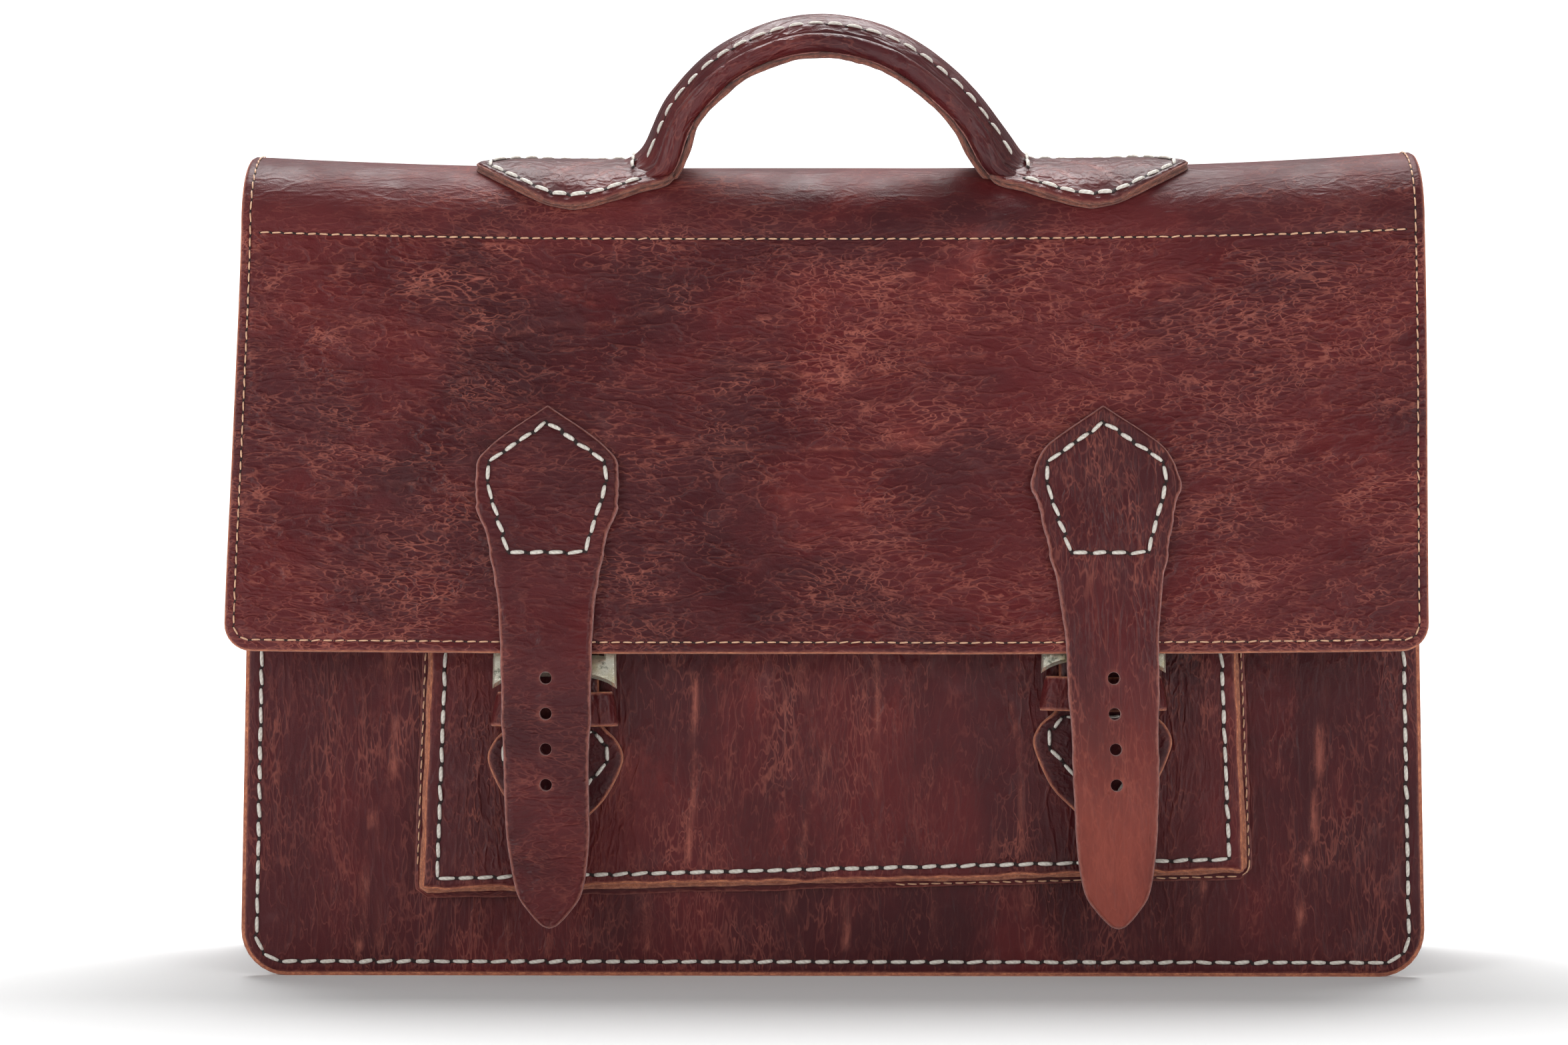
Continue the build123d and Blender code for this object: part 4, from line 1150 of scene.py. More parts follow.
def strap_leather(strap):
    """Spade and blade in one piece, with punched holes."""
    low, high = STRAP_HEIGHTS[0], STRAP_HEIGHTS[-1]
    tip = low + 10 * (1 - np.cos(np.linspace(0, pi / 2, 9)))
    rows = lines_with_holes(low + 10, high - 6, 1.5, strap.holes(), HOLE_RADIUS)
    point = high - 6 + 6 * np.sin(np.linspace(0, pi / 2, 6))
    rows = np.concatenate([tip[:-1], rows[:-1], point])
    full = 14.6                # half width beside the holes
    inner = HOLE_LINES * HOLE_RADIUS / full
    outer = np.array((0.50, 0.66, 0.80, 0.90, 0.96, 0.99, 1.0))
    columns = np.concatenate([-outer[::-1], inner, outer])
    x, run = pattern(rows, strap.half, columns)
    x, run, gaps = round_holes(x, run, strap.holes(), HOLE_RADIUS)
    x = x + ragged(run, 57 + len(strap.side), 0.25) * (x / full) ** 3
    piece = sheet(strap.side + "_strap", x, run, strap.place, STRAP_THICKNESS, 0.0,
                  [strap.leather, raw_strap, raw_strap], relief=strap_relief(strap, x, run),
                  folds=hole_rim_highlights(strap, x, run), bulge=0.14, gaps=gaps)
    return bend_with_strap(piece, strap)


# ---- stitches -----------------------------------------------------------------------------------
STITCH_RINGS = 9
STITCH_SIDES = 8
THICK = dict(cord=white_thread, pitch=6.6, length=5.4, width=1.4, height=1.15, sink=0.75, hole=0.95)
STRAP_CORD = dict(THICK, pitch=6.2, length=5.0)
HANDLE_CORD = dict(THICK, pitch=7.2, length=6.0)
FINE = dict(cord=tan_thread, pitch=4.1, length=3.0, width=0.58, height=0.5, sink=0.35, hole=0.62)


def arc(centre, radius, start, end, count=9):
    """Points on a circle between two angles in degrees."""
    angles = np.radians(np.linspace(start, end, count))
    return [(centre[0] + radius * cos(a), centre[1] + radius * sin(a)) for a in angles]


def walk(paths, pitch):
    """Evenly spaced middles and directions of the stitches along smooth paths."""
    middles, directions = [], []
    for path in paths:
        path = np.array(path, float)
        run = np.concatenate([[0], np.cumsum(np.hypot(*np.diff(path, axis=0).T))])
        count = max(1, int(round(run[-1] / pitch)))
        at = (np.arange(count) + 0.5) * run[-1] / count
        middle = np.stack([np.interp(at, run, path[:, k]) for k in (0, 1)], axis=1)
        ahead = np.stack([np.interp(at + 0.6, run, path[:, k]) for k in (0, 1)], axis=1)
        behind = np.stack([np.interp(at - 0.6, run, path[:, k]) for k in (0, 1)], axis=1)
        direction = ahead - behind
        middles.append(middle)
        directions.append(direction / np.linalg.norm(direction, axis=1)[:, None])
    return np.concatenate(middles), np.concatenate(directions)


def placed(middles, along_x, along_run, along, across, away, place):
    """Points given along and across each stitch, in the model's frame."""
    x = middles[:, 0, None, None] + along * along_x[:, None, None] + across * along_run[:, None, None]
    run = middles[:, 1, None, None] + along * along_run[:, None, None] - across * along_x[:, None, None]
    position = place(x.ravel(), run.ravel(), np.broadcast_to(away, x.shape).ravel())
    return np.stack(position, axis=1)


def ring_faces(low, high, sides):
    """Faces between two rings of points, given the number of each ring's first point."""
    return [[low + k, low + (k + 1) % sides, high + (k + 1) % sides, high + k] for k in range(sides)]


def tube_faces(count, rings, sides):
    """Faces of many closed tubes whose points are stored ring by ring."""
    faces = []
    for tube in range(count):
        base = tube * rings * sides
        for ring in range(rings - 1):
            faces += ring_faces(base + ring * sides, base + (ring + 1) * sides, sides)
        last = base + (rings - 1) * sides
        faces += [list(range(base, base + sides))[::-1], list(range(last, last + sides))]
    return faces


def hole_shade_discs(middles, along_x, along_run, kind, top, place):
    """Low dark ovals where the stitches enter the leather: painted shade of the holes."""
    sides = 8
    spin = 2 * pi * np.arange(sides) / sides
    reach = kind["hole"]
    rings = [(1.0, -0.5), (0.8, -0.02), (0.35, 0.05)]
    along = np.stack([scale * reach * np.cos(spin) for scale, _ in rings])
    across = np.stack([scale * reach * 0.85 * np.sin(spin) for scale, _ in rings])
    away = np.repeat(np.array([top - 0.12 + level for _, level in rings])[:, None], sides, axis=1)
    points = []
    for end in (-1, 1):
        shift = end * (kind["length"] / 2 + 0.1)
        points.append(placed(middles, along_x, along_run, along[None] + shift, across[None], away[None],
                             place))
    return np.concatenate(points), tube_faces(2 * len(middles), len(rings), sides)


def stitch_row(name, paths, place, top, kind, seed):
    """Rows of separate plump stitches that dip at both ends into holes darkened with painted shade."""
    draw = np.random.default_rng(seed)
    middles, directions = walk(paths, kind["pitch"])
    count = len(middles)
    turn = draw.normal(0, 0.05, count) + 0.05
    along_x = directions[:, 0] * np.cos(turn) - directions[:, 1] * np.sin(turn)
    along_run = directions[:, 0] * np.sin(turn) + directions[:, 1] * np.cos(turn)
    size = 1 + draw.normal(0, 0.05, count)

    u = np.sin(np.linspace(-pi / 2, pi / 2, STITCH_RINGS))[None, :, None]
    around = (2 * pi * np.arange(STITCH_SIDES) / STITCH_SIDES)[None, None, :]
    plump = (1 - 0.45 * np.abs(u) ** 3) * size[:, None, None]
    along = u * kind["length"] / 2 * (2 - size[:, None, None]) + 0 * around
    across = kind["width"] / 2 * plump * np.cos(around)
    lift = draw.normal(0, 0.05, count)[:, None, None]
    away = top + 0.25 + lift + kind["height"] / 2 * plump * np.sin(around)
    away = away - kind["sink"] * np.abs(u) ** 5
    points = placed(middles, along_x, along_run, along, across, away, place)
    phase = np.broadcast_to(around, along.shape)
    number = np.broadcast_to(np.arange(count)[:, None, None] * 7.3, along.shape)
    flat = np.stack([along, phase, number], axis=-1).reshape(-1, 3)
    faces = tube_faces(count, STITCH_RINGS, STITCH_SIDES)
    slots = [0] * len(faces)

    hole_points, hole_faces = hole_shade_discs(middles, along_x, along_run, kind, top, place)
    faces += [[v + len(points) for v in face] for face in hole_faces]
    slots += [1] * len(hole_faces)
    points = np.concatenate([points, hole_points])
    flat = np.concatenate([flat, hole_points])
    return new_piece(name, points, faces, [kind["cord"], hole_shade], slots, {"flat": flat}, sharp=80)


def side_path(inset, top, radius, half_low, half_high, bottom=0.0):
    """Seam down the left side, round two corners and up the right side of a panel."""
    left, low = -half_low + inset, bottom + inset
    corner = arc((left + radius, low + radius), radius, 180, 270)
    right = [(-x, run) for x, run in reversed(corner)]
    return [[(-half_high + inset, top)] + corner + right + [(half_high - inset, top)]]


def body_seam(name, top, half_high, place, seed):
    path = side_path(BODY_SEAM_INSET, top, BODY_CORNER - BODY_SEAM_INSET, body_half_width, half_high)
    return stitch_row(name, path, place, 0.0, THICK, seed)


def front_seam():
    top = cad_high("front_seam_thread")[2]
    return body_seam("front_seam", top, body_half_width - TOP_TAPER, front_wavy, 101)


def back_seam():
    def place(x, up, away):
        return hide_place(x, back_end - up, away)

    return body_seam("back_seam", cad_high("back_seam_thread")[2], body_half_width, place, 102)


def pocket_seam():
    high = pocket_top - 3
    left, right = pocket_sides(high)
    low_left = (pocket_left + POCKET_SEAM_INSET, POCKET_BOTTOM_LEFT + POCKET_FOOT_INSET)
    low_right = (pocket_right - POCKET_SEAM_INSET, POCKET_BOTTOM_RIGHT + POCKET_FOOT_INSET)
    legs = [[(left + POCKET_SEAM_INSET, high), low_left], [low_left, low_right],
            [low_right, (right - POCKET_SEAM_INSET, high)]]
    return stitch_row("pocket_seam", legs, pocket_place, 0.0, THICK, seed=103)


def pocket_flange_seam():
    """Fine stitches on the flange, along the pocket's sides and the right half of its foot."""
    def place(out, run, away):
        x, up = pocket_path.at(run, out)
        return front_place(x, up, away)

    side, end = pocket_top - POCKET_STRIP_DROP - POCKET_BOTTOM_RIGHT, pocket_path.end
    out = POCKET_FLANGE - FLANGE_SEAM_INSET
    legs = [[(out, low), (out, high)]
            for low, high in ((2, side + 1), (side + 1, side + 120), (end - side, end - 2))]
    return stitch_row("pocket_flange_seam", legs, place, FLANGE_LEATHER + 0.05, FINE, seed=104)


def flap_border_seam():
    inset = FLAP_SEAM_INSET
    path = side_path(inset, split_run - 1, FLAP_CORNER - inset, half_width, half_width, bottom=-flap_length)
    return bend_with_flap(stitch_row("flap_border_seam", path, hide_place, 0.0, FINE, seed=105))


def flap_cross_seam():
    span = half_width - FLAP_SEAM_INSET - 3
    path = [[(-span, -1.0), (span, -1.0)]]
    return bend_with_flap(stitch_row("flap_cross_seam", path, hide_place, 0.0, FINE, seed=106))


def arch_border_seam():
    side = half_width - FLAP_SEAM_INSET
    legs = [[(x, split_run + 1), (x, arch_length - 4)] for x in (-side, side)]
    return stitch_row("arch_border_seam", legs, hide_place, 0.0, FINE, seed=107)


def strap_seam(strap):
    legs = [list(pair) for pair in zip(PENTAGON, PENTAGON[1:])]
    name = strap.side + "_strap_seam"
    return bend_with_strap(stitch_row(name, legs, strap.place, STRAP_THICKNESS, STRAP_CORD, seed=108), strap)


# ---- tabs, keepers and buckles ------------------------------------------------------------------
TAB_THICKNESS = 3.0
TAB_SEAM_INSET = 5.0
TAB_DROP = 1.5                 # the tab's tip reaches this far below the CAD tab
NECK_HALF = 14.5
NECK_LEATHER = 1.4
NECK_GAP = 1.7                 # between the free neck and the pocket
BAR_DEPTH = 3.4                # centre bar's axis above the pocket's face
BAR_RADIUS = 1.5
LOOP_RADIUS = 1.8              # inside of the leather folded round the bar
KEEPER_LEATHER = 1.2
KEEPER_BACK = 1.35             # inside of the keeper's loop above the pocket's face
KEEPER_FRONT = 8.6
KEEPER_DROP = 1.2              # the keeper lies this far below the CAD keeper
PLATE_LIFT = 3.0               # buckle plate's middle above the bar's axis
PLATE_SIDE = 4.2               # width of the buckle's side bars
PRONG_RADIUS = 1.0
PRONG_CURL = 2.2               # radius of the prong's roll round the bar
PRONG_LIFT = 5.0               # prong's straight part above the bar's axis
# Section of the buckle's plate: share of the way from the outer to the inner edge, and level.
PLATE_SECTION = np.array(((0.0, -1.1), (0.0, 0.3), (0.16, 1.2), (0.84, 1.2), (1.0, 0.5), (1.0, -1.1)))


class Closure:
    """Tab, keeper and buckle of one side. Heights are measured up the pocket's face."""

    def __init__(self, side):
        self.side = side
        tab_low, tab_high = cad_low(side + "_buckle_tab"), cad_high(side + "_buckle_tab")
        self.x = (tab_low[0] + tab_high[0]) / 2
        self.half = (tab_high[0] - tab_low[0]) / 2
        self.hinge = pivot("neck_" + side + "_lift")
        self.bar = self.height(pivot("buckle_" + side + "_turn")[2], BAR_DEPTH)
        self.neck = self.height(self.hinge[2], TAB_THICKNESS / 2)
        self.tip = self.height(tab_low[2], TAB_THICKNESS / 2) - TAB_DROP
        frame_low, frame_high = cad_low(side + "_buckle_frame"), cad_high(side + "_buckle_frame")
        self.frame_half = (frame_high[0] - frame_low[0]) / 2
        self.frame_reach = (frame_high[2] - frame_low[2]) / 2 - 0.3     # its top and foot from the bar
        self.tab_path = Profile(self.tab_points(), soften=3.0, spacing=0.25)

    def height(self, z, away):
        return (z - (away + POCKET_DEPTH) * sin(front_lean)) / cos(front_lean)

    def place(self, x, up, away):
        return front_place(self.x + x, up, away + POCKET_DEPTH)

    def bar_place(self, x, up, away):
        """As place, with heights measured from the centre bar."""
        return self.place(x, self.bar + up, away)

    def tab_points(self):
        """Back of the tab's leather: flat spade, lifted neck, round the bar and down behind."""
        fold = [(-BAR_DEPTH - LOOP_RADIUS * cos(a), self.bar + LOOP_RADIUS * sin(a))
                for a in np.linspace(0, pi, 9)]
        rise = NECK_LEATHER + NECK_GAP
        front = [(-0.1, self.tip), (-0.1, self.neck - 4), (-rise, self.neck + 5), (-rise, self.bar - 5)]
        return front + fold + [(-rise + 0.1, self.bar - 5), (-rise + 0.1, self.neck + 7)]

    def tab_place(self, x, run, away):
        back, up = self.tab_path.at(run, away)
        return self.place(x, up, -back)

    def tab_half(self, run):
        """Half width from the spade's tip to the neck."""
        length, half = self.neck - self.tip, self.half
        edge = ((0, 0), (0.6, 2.2), (2.5, 5.2), (7.5, half * 0.45), (14, half * 0.72),
                (length - 16, half * 0.96), (length - 11.5, half), (length - 6.5, half * 0.90),
                (length - 2.5, NECK_HALF + 2.6), (length + 1, NECK_HALF + 0.3), (length + 6, NECK_HALF))
        return np.interp(run, *smooth_table(*zip(*edge)))

    def pentagon(self):
        """Seam of the tab: (across, run)."""
        top, half, neck = self.neck - self.tip, self.half - TAB_SEAM_INSET, NECK_HALF - 1
        right = [(half, top - 14), (half, top - 9.5), (neck, top - 2.5)]
        return [(0, 7.0)] + right + [(-x, run) for x, run in reversed(right)] + [(0, 7.0)]


def bend_with_neck(piece, closure):
    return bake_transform(piece)


def tab(closure):
    """Spade and neck in one piece, slotted where the prong passes through the fold."""
    tip = 6 * (1 - np.cos(np.linspace(0, pi / 2, 7)))
    rows = np.concatenate([tip[:-1], grid_line(6, closure.tab_path.end, 1.1)[2:]])
    slot = np.array((-2.5, -1.25, 0, 1.25, 2.5)) / closure.half
    outer = np.array((0.22, 0.36, 0.5, 0.64, 0.78, 0.88, 0.95, 0.985, 1.0))
    x, run = pattern(rows, closure.tab_half, np.concatenate([-outer[::-1], slot, outer]))
    fold, neck = closure.bar - closure.tip, closure.neck - closure.tip
    gaps = np.zeros((len(rows) - 1, x.shape[1] - 1), bool)
    first, last = np.searchsorted(rows, (fold - 6, fold + 12))
    gaps[first:last, len(outer):len(outer) + len(slot) - 1] = True
    thin = (TAB_THICKNESS - NECK_LEATHER) * smooth((run - neck + 2) / 8)
    seam = line_distance(x, run, closure.pentagon())
    relief = -thin + groove(seam, 0.5, 1.3) + 0.12 * rough(x, run, 8, seed=151)
    piece = sheet(closure.side + "_tab", x, run, closure.tab_place, TAB_THICKNESS, 0.0,
                  [hide_tab, raw, raw], relief=relief, bulge=0.2, gaps=gaps)
    return bend_with_neck(piece, closure)


def tab_seam(closure):
    """Stitches round the pentagon; each long side runs round its corner in one go."""
    corners = closure.pentagon()
    legs = [corners[first:last + 1] for first, last in ((0, 1), (1, 3), (3, 4), (4, 6), (6, 7))]
    name = closure.side + "_tab_seam"
    return stitch_row(name, legs, closure.tab_place, TAB_THICKNESS, STRAP_CORD, seed=153)


def keeper(closure):
    """Strip of leather bent into a closed loop; its ends meet behind the neck."""
    low, high = cad_low(closure.side + "_keeper"), cad_high(closure.side + "_keeper")
    half = (high[0] - low[0]) / 2 - KEEPER_LEATHER
    base = closure.height(low[2], 5.0) - KEEPER_DROP
    height = (high[2] - low[2]) / cos(front_lean) - 0.6
    right = [(half - 2, KEEPER_FRONT), (half, KEEPER_FRONT - 2),
             (half, KEEPER_BACK + 1), (half - 1, KEEPER_BACK)]
    left = [(-x, depth) for x, depth in reversed(right)]
    section = Profile([(0, KEEPER_BACK)] + left + right + [(0, KEEPER_BACK)], soften=1.6, spacing=0.2)

    def place(up, run, away):
        x, depth = section.at(run, away)
        flare = 1 + 0.10 * (1 - up / height)
        sag = 0.5 * bell(x, 14) * smooth(depth / 8)
        return closure.place(x * flare, base + up - sag, depth)

    up, run = np.meshgrid(grid_line(0, height, 0.9), grid_line(0, section.end, 1.1))
    edge_lines = 0.12 * (bell(up - 1.8, 0.5) + bell(up - height + 1.8, 0.5))
    relief = 0.10 * rough(up, run, 5, seed=155) - edge_lines
    return sheet(closure.side + "_keeper_loop", up, run, place, KEEPER_LEATHER, 0.0,
                 [hide_strap, raw, raw_strap], relief=relief, bulge=0.4)


def unit(vectors):
    return vectors / (np.linalg.norm(vectors, axis=-1, keepdims=True) + 1e-9)


def hardware(name, x, up, level, faces, place):
    """Brass piece from a grid of points in the closure's own directions."""
    flat = np.stack([x.ravel(), up.ravel(), level.ravel()], axis=1)
    points = np.stack(place(*flat.T), axis=1)
    return new_piece(name, points, faces, [metal], attributes={"flat": flat}, sharp=28)


def swept_bar(name, path, radius, place):
    """Round bar along a path of (x, up, level) points, flat in x and up."""
    path = np.array(path, float)
    spin = 2 * pi * np.arange(12) / 12
    along = unit(np.gradient(path[:, :2], axis=0))
    x = path[:, 0, None] + along[:, 1, None] * radius * np.cos(spin)
    up = path[:, 1, None] - along[:, 0, None] * radius * np.cos(spin)
    level = path[:, 2, None] + radius * np.sin(spin)
    return hardware(name, x, up, level, tube_faces(1, *x.shape), place)


def plate_ring(name, outer, inner, level, place):
    """Flat ring between two closed outlines of equally many points, with bevelled faces."""
    outer, inner = np.array(outer, float), np.array(inner, float)
    share, raised = PLATE_SECTION.T
    x = outer[:, :1] + share * (inner[:, :1] - outer[:, :1])
    up = outer[:, 1:] + share * (inner[:, 1:] - outer[:, 1:])
    rings, sides = x.shape
    faces = [face for ring in range(rings)
             for face in ring_faces(ring * sides, (ring + 1) % rings * sides, sides)]
    return hardware(name, x, up, level(x, up) + raised, faces, place)


def both_sides(foot, side):
    """Closed outline from its foot and its right side."""
    return foot + side + [(-x, up) for x, up in reversed(side)]


def buckle(closure):
    """Stamped frame: a broad lower plate with an arched edge and pointed corners, narrower above."""
    wide, tall = closure.frame_half, closure.frame_reach
    inner, across = wide - PLATE_SIDE, np.linspace(-1, 1, 15)
    foot = [(wide * x * 1.01, -tall - 1.9 + 4.2 * (1 - x ** 4)) for x in across]
    side = [(wide, up) for up in np.linspace(-tall + 6, tall - 6, 5)]
    side += arc((wide - 5, tall - 5), 5, 10, 90, 6)
    inner_foot = [(inner * x, -tall + 9.4 + 0.8 * (1 - x * x)) for x in across]
    inner_side = [(inner, up) for up in np.linspace(-tall + 10, tall - 7, 5)]
    inner_side += arc((inner - 2.5, tall - 6.7), 2.5, 10, 90, 6)

    def level(x, up):
        return BAR_DEPTH + PLATE_LIFT - 0.9 * bell(up, 6) * (np.abs(x) > wide - 4.5)

    return plate_ring(closure.side + "_buckle", both_sides(foot, side), both_sides(inner_foot, inner_side),
                      level, closure.bar_place)


def buckle_bar(closure):
    """Round centre bar that the tab's neck is folded over."""
    reach = closure.frame_half - 2
    path = [(x, 0.0, BAR_DEPTH) for x in np.linspace(-reach, reach, 12)]
    return swept_bar(closure.side + "_buckle_bar", path, BAR_RADIUS, closure.bar_place)


def buckle_prong(closure):
    """Pin rolled round the centre bar; its end rests on the frame."""
    reach, rest = closure.frame_reach + 0.8, BAR_DEPTH + PRONG_LIFT
    curl = [(BAR_DEPTH + PRONG_CURL * cos(a), PRONG_CURL * sin(a)) for a in np.linspace(-2.6, 1.0, 12)]
    line = curl + [(rest - 0.9, 5.5), (rest - 0.1, 9.5), (rest, 13.0), (rest, reach - 1), (rest - 0.5, reach)]

    def place(level, up, across):
        return closure.bar_place(across, up, level)

    path = [(level, up, 0.0) for level, up in line]
    return swept_bar(closure.side + "_prong_pin", path, PRONG_RADIUS, place)


# ---- handle -------------------------------------------------------------------------------------
HANDLE_LEAN = radians(11.0)
FOOT_LIFT = 3.7                # handle's hinge line above the arch
PAD_LAYER = 1.5
PAD_SEAM_INSET = 3.8
PAD_FORWARD = 2.5              # the pads' middle lies this far in front of the grip's
handle_foot = pivot("handle_swing")
base_run = float(np.interp(handle_foot[1], hide_profile.at(hide_profile.run, FOOT_LIFT)[0], hide_profile.run))

# Half width of a pad against the distance from its outer tip.
PAD_LENGTHS = (0, 0.4, 2.5, 8, 16, 25, 33, 41, 50, 58, 64, 67.5, 69.3, 70)
PAD_HALVES = (0, 1.6, 4.2, 9.5, 15.5, 20.8, 22.5, 21.6, 18.2, 14.6, 12.8, 10.5, 6, 0)
PAD_TIP = 125.0                # distance of either pad's tip from the middle
# Creases in a pad: points (across, distance from the tip) and depth.
PAD_FOLDS = ((((14, 24), (2, 36), (-8, 52)), 0.35), (((16, 38), (6, 46), (0, 58)), 0.25))

# Side view of the grip's top surface above the pads: (x, up).
GRIP_TOP = ((-79, -1.6), (-73.5, 0.0), (-69.3, 2.2), (-66.6, 5.4), (-57.7, 23), (-38.5, 41.2), (-8, 51.3),
            (22.4, 45.7), (47.6, 27.8), (64.8, 6), (67.5, 2.4), (72, 0.0), (77.5, -1.6))
# Section of the grip: across towards the front, and away from the top surface.
GRIP_SECTION = (
    (-11.2, -7.8), (-10.6, -3.9), (-8.0, -1.0), (-4.5, 0.0), (-1.5, -0.4), (2.0, -1.5), (4.6, -2.7),
    (6.6, -4.1), (7.8, -5.2), (8.3, -6.1), (9.4, -5.6), (10.9, -6.2), (11.8, -8.1), (11.4, -10.3),
    (9.6, -11.9), (7.4, -12.3), (6.8, -11.9), (-7.5, -12.0), (-10.0, -10.9))
GRIP_UNDERSIDE = -12.0         # level of the grip's flat inner side
RIDGE_ACROSS = 4.4             # the heavy seam runs this far in front of the grip's middle
RIDGE_LEVEL = -2.65


pad_edge = smooth_table(PAD_LENGTHS, PAD_HALVES)
grip_path = Profile(spline_points(GRIP_TOP), soften=3.0)
grip_length = grip_path.end


def grip_place(across, run, away):
    """On the grip: across towards the front, and away from its top. Its ends drape over the arch."""
    x, up = grip_path.at(run, away)
    lean_y, lean_z = -sin(HANDLE_LEAN), cos(HANDLE_LEAN)
    y = handle_foot[1] + up * lean_y - across * cos(HANDLE_LEAN)
    z = handle_foot[2] + up * lean_z - across * sin(HANDLE_LEAN)
    _, low_y, low_z = hide_place(x, base_run - across, FOOT_LIFT - 0.5 + np.maximum(up, -3))
    share = smooth((up - 1) / 10)
    return x, low_y + share * (y - low_y), low_z + share * (z - low_z)


def bend_with_handle(piece):
    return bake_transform(piece)


def grip_cover():
    """Leather rolled round the handle's core, with a ridge along its front and swollen roots."""
    outline = spline_points(GRIP_SECTION + GRIP_SECTION[:1], per_leg=3)[:-1]
    run = np.linspace(0, grip_length, int(grip_length / 1.2))[:, None]
    ends = smooth((np.minimum(run, grip_length - run) - 3) / 13)
    depth = 0.25 + 0.75 * ends
    across = outline[None, :, 0] * (1.04 - 0.04 * ends) + 0.3 * rough(run, 0, 22, seed=201)
    leg = np.concatenate([[0], np.cumsum(np.hypot(*np.diff(outline, axis=0).T))])
    around = np.broadcast_to(leg[None, :], across.shape)
    away = outline[None, :, 1] * depth + 0.10 * rough(run * 0.4, around, 4, seed=203)
    along = np.broadcast_to(run, across.shape)
    points = np.stack(grip_place(across.ravel(), along.ravel(), away.ravel()), axis=1)
    flat = np.stack([along.ravel(), around.ravel(), away.ravel() * 0], axis=1)
    faces = tube_faces(1, *across.shape)
    border = np.tile((9.0, 0.0, 0.0), (len(points), 1))
    return bend_with_handle(new_piece("handle_grip", points, faces, [hide_handle],
                                      attributes={"flat": flat, "border": border}, sharp=60))


def handle_lip():
    """Thin pale edge of the wrapped leather, low on the grip's front."""
    rows = grid_line(14, grip_length - 14, 1.5)
    across, run = np.meshgrid(np.array((6.6, 7.4, 8.2)), rows)
    piece = sheet("handle_wrap_edge", across, run, grip_place, GRIP_UNDERSIDE + 0.3, GRIP_UNDERSIDE - 0.7,
                  [raw_strap] * 3, relief=0.15 * rough(run, 0, 6, seed=205), bulge=0.3)
    return bend_with_handle(piece)


def grip_underside():
    """Rough strip along the inside of the grip, loose near its ends."""
    rows = grid_line(12, grip_length - 12, 1.5)
    columns = np.concatenate([[-1, -0.98, -0.9], np.linspace(-0.8, 0.8, 9), [0.9, 0.98, 1]])
    half = 9.0 + 0.7 * rough(rows, 0, 9, seed=207)
    across, run = pattern(rows, lambda at: half, columns)
    ends = np.minimum(run, grip_length - run)
    loose = 0.6 * bell(ends - 22, 8) + 0.5 * np.abs(rough(run, 0, 12, seed=209))

    def place(v, along, away):
        return grip_place(v, along, away - np.interp(along, rows, loose[:, 0]))

    piece = sheet("handle_underside_strip", across, run, place, GRIP_UNDERSIDE, GRIP_UNDERSIDE - 2.2,
                  [raw_handle] * 3, relief=0.2 * rough(across, run, 3, seed=211), bulge=0.3)
    return bend_with_handle(piece)


def grip_seam():
    ridge = [[(RIDGE_ACROSS, 13.0), (RIDGE_ACROSS, grip_length - 13)]]
    return bend_with_handle(stitch_row("grip_seam", ridge, grip_place, RIDGE_LEVEL, HANDLE_CORD, seed=213))


def grip_root_seam():
    """Stitches across both of the grip's roots."""
    across = [[(9, run), (-9, run)] for run in (9.5, grip_length - 9.0)]
    return bend_with_handle(stitch_row("grip_root_seam", across, grip_place, 0.0, STRAP_CORD, seed=215))


class Pad:
    """Leaf of leather under one end of the handle, in two layers."""

    def __init__(self, side):
        self.side, self.sign = side, -1 if side == "left" else 1

    def place(self, across, length, away):
        return hide_place(self.sign * (PAD_TIP - length), base_run - PAD_FORWARD - across, away)

    def layer(self, name, low, shrink, top_material, seed):
        """Leather leaf whose under face lies low above the hide."""
        tip = 3 * (1 - np.cos(np.linspace(0, pi / 2, 6)))
        rows = np.concatenate([tip[:-1], grid_line(3, PAD_LENGTHS[-1], 1.2)[3:]])
        outer = np.array((0.88, 0.95, 0.985, 1))
        columns = np.concatenate([-outer[::-1], np.linspace(-0.78, 0.78, 19), outer])
        half = np.interp(rows, *pad_edge)
        half = np.maximum(half - shrink, half * 0.5) + ragged(rows, seed, 0.35) * smooth(half / 4)
        across, length = pattern(rows, lambda at: half, columns)
        border = half[:, None] - np.abs(across)
        relief = groove(border - PAD_SEAM_INSET, 0.5, 1.3) + 0.15 * rough(across, length, 9, seed=seed + 1)
        folded, folds = pressed(across, length, PAD_FOLDS, 1.1)
        return sheet(self.side + name, across, length, self.place, low + PAD_LAYER, low,
                     [top_material, raw_handle, raw_handle], relief=relief + folded, folds=folds, bulge=0.35)

    def base(self):
        return self.layer("_pad_base", 0.05, 0.0, raw_handle, 221)

    def cover(self):
        return self.layer("_pad_cover", 0.1 + PAD_LAYER, 0.5, hide_pad, 225)

    def seam(self):
        lengths = np.linspace(4.5, 58, 40)
        halves = np.interp(lengths, *pad_edge) - PAD_SEAM_INSET
        front = list(zip(halves, lengths))
        path = front[::-1] + [(-v, length) for v, length in front]
        return stitch_row(self.side + "_pad_seam", [path], self.place, 2 * PAD_LAYER + 0.1, THICK, seed=217)


# ---- camera and light ---------------------------------------------------------------------------
def area_light(name, spot, target, size, power):
    data = bpy.data.lights.new(name, "AREA")
    data.shape, data.size, data.size_y = "RECTANGLE", size[0], size[1]
    data.energy = power
    lamp = bpy.data.objects.new(name, data)
    bpy.context.scene.collection.objects.link(lamp)
    lamp.location = spot
    aim = np.array(target) - np.array(spot)
    lamp.rotation_euler = Vector(aim).to_track_quat("-Z", "Y").to_euler()


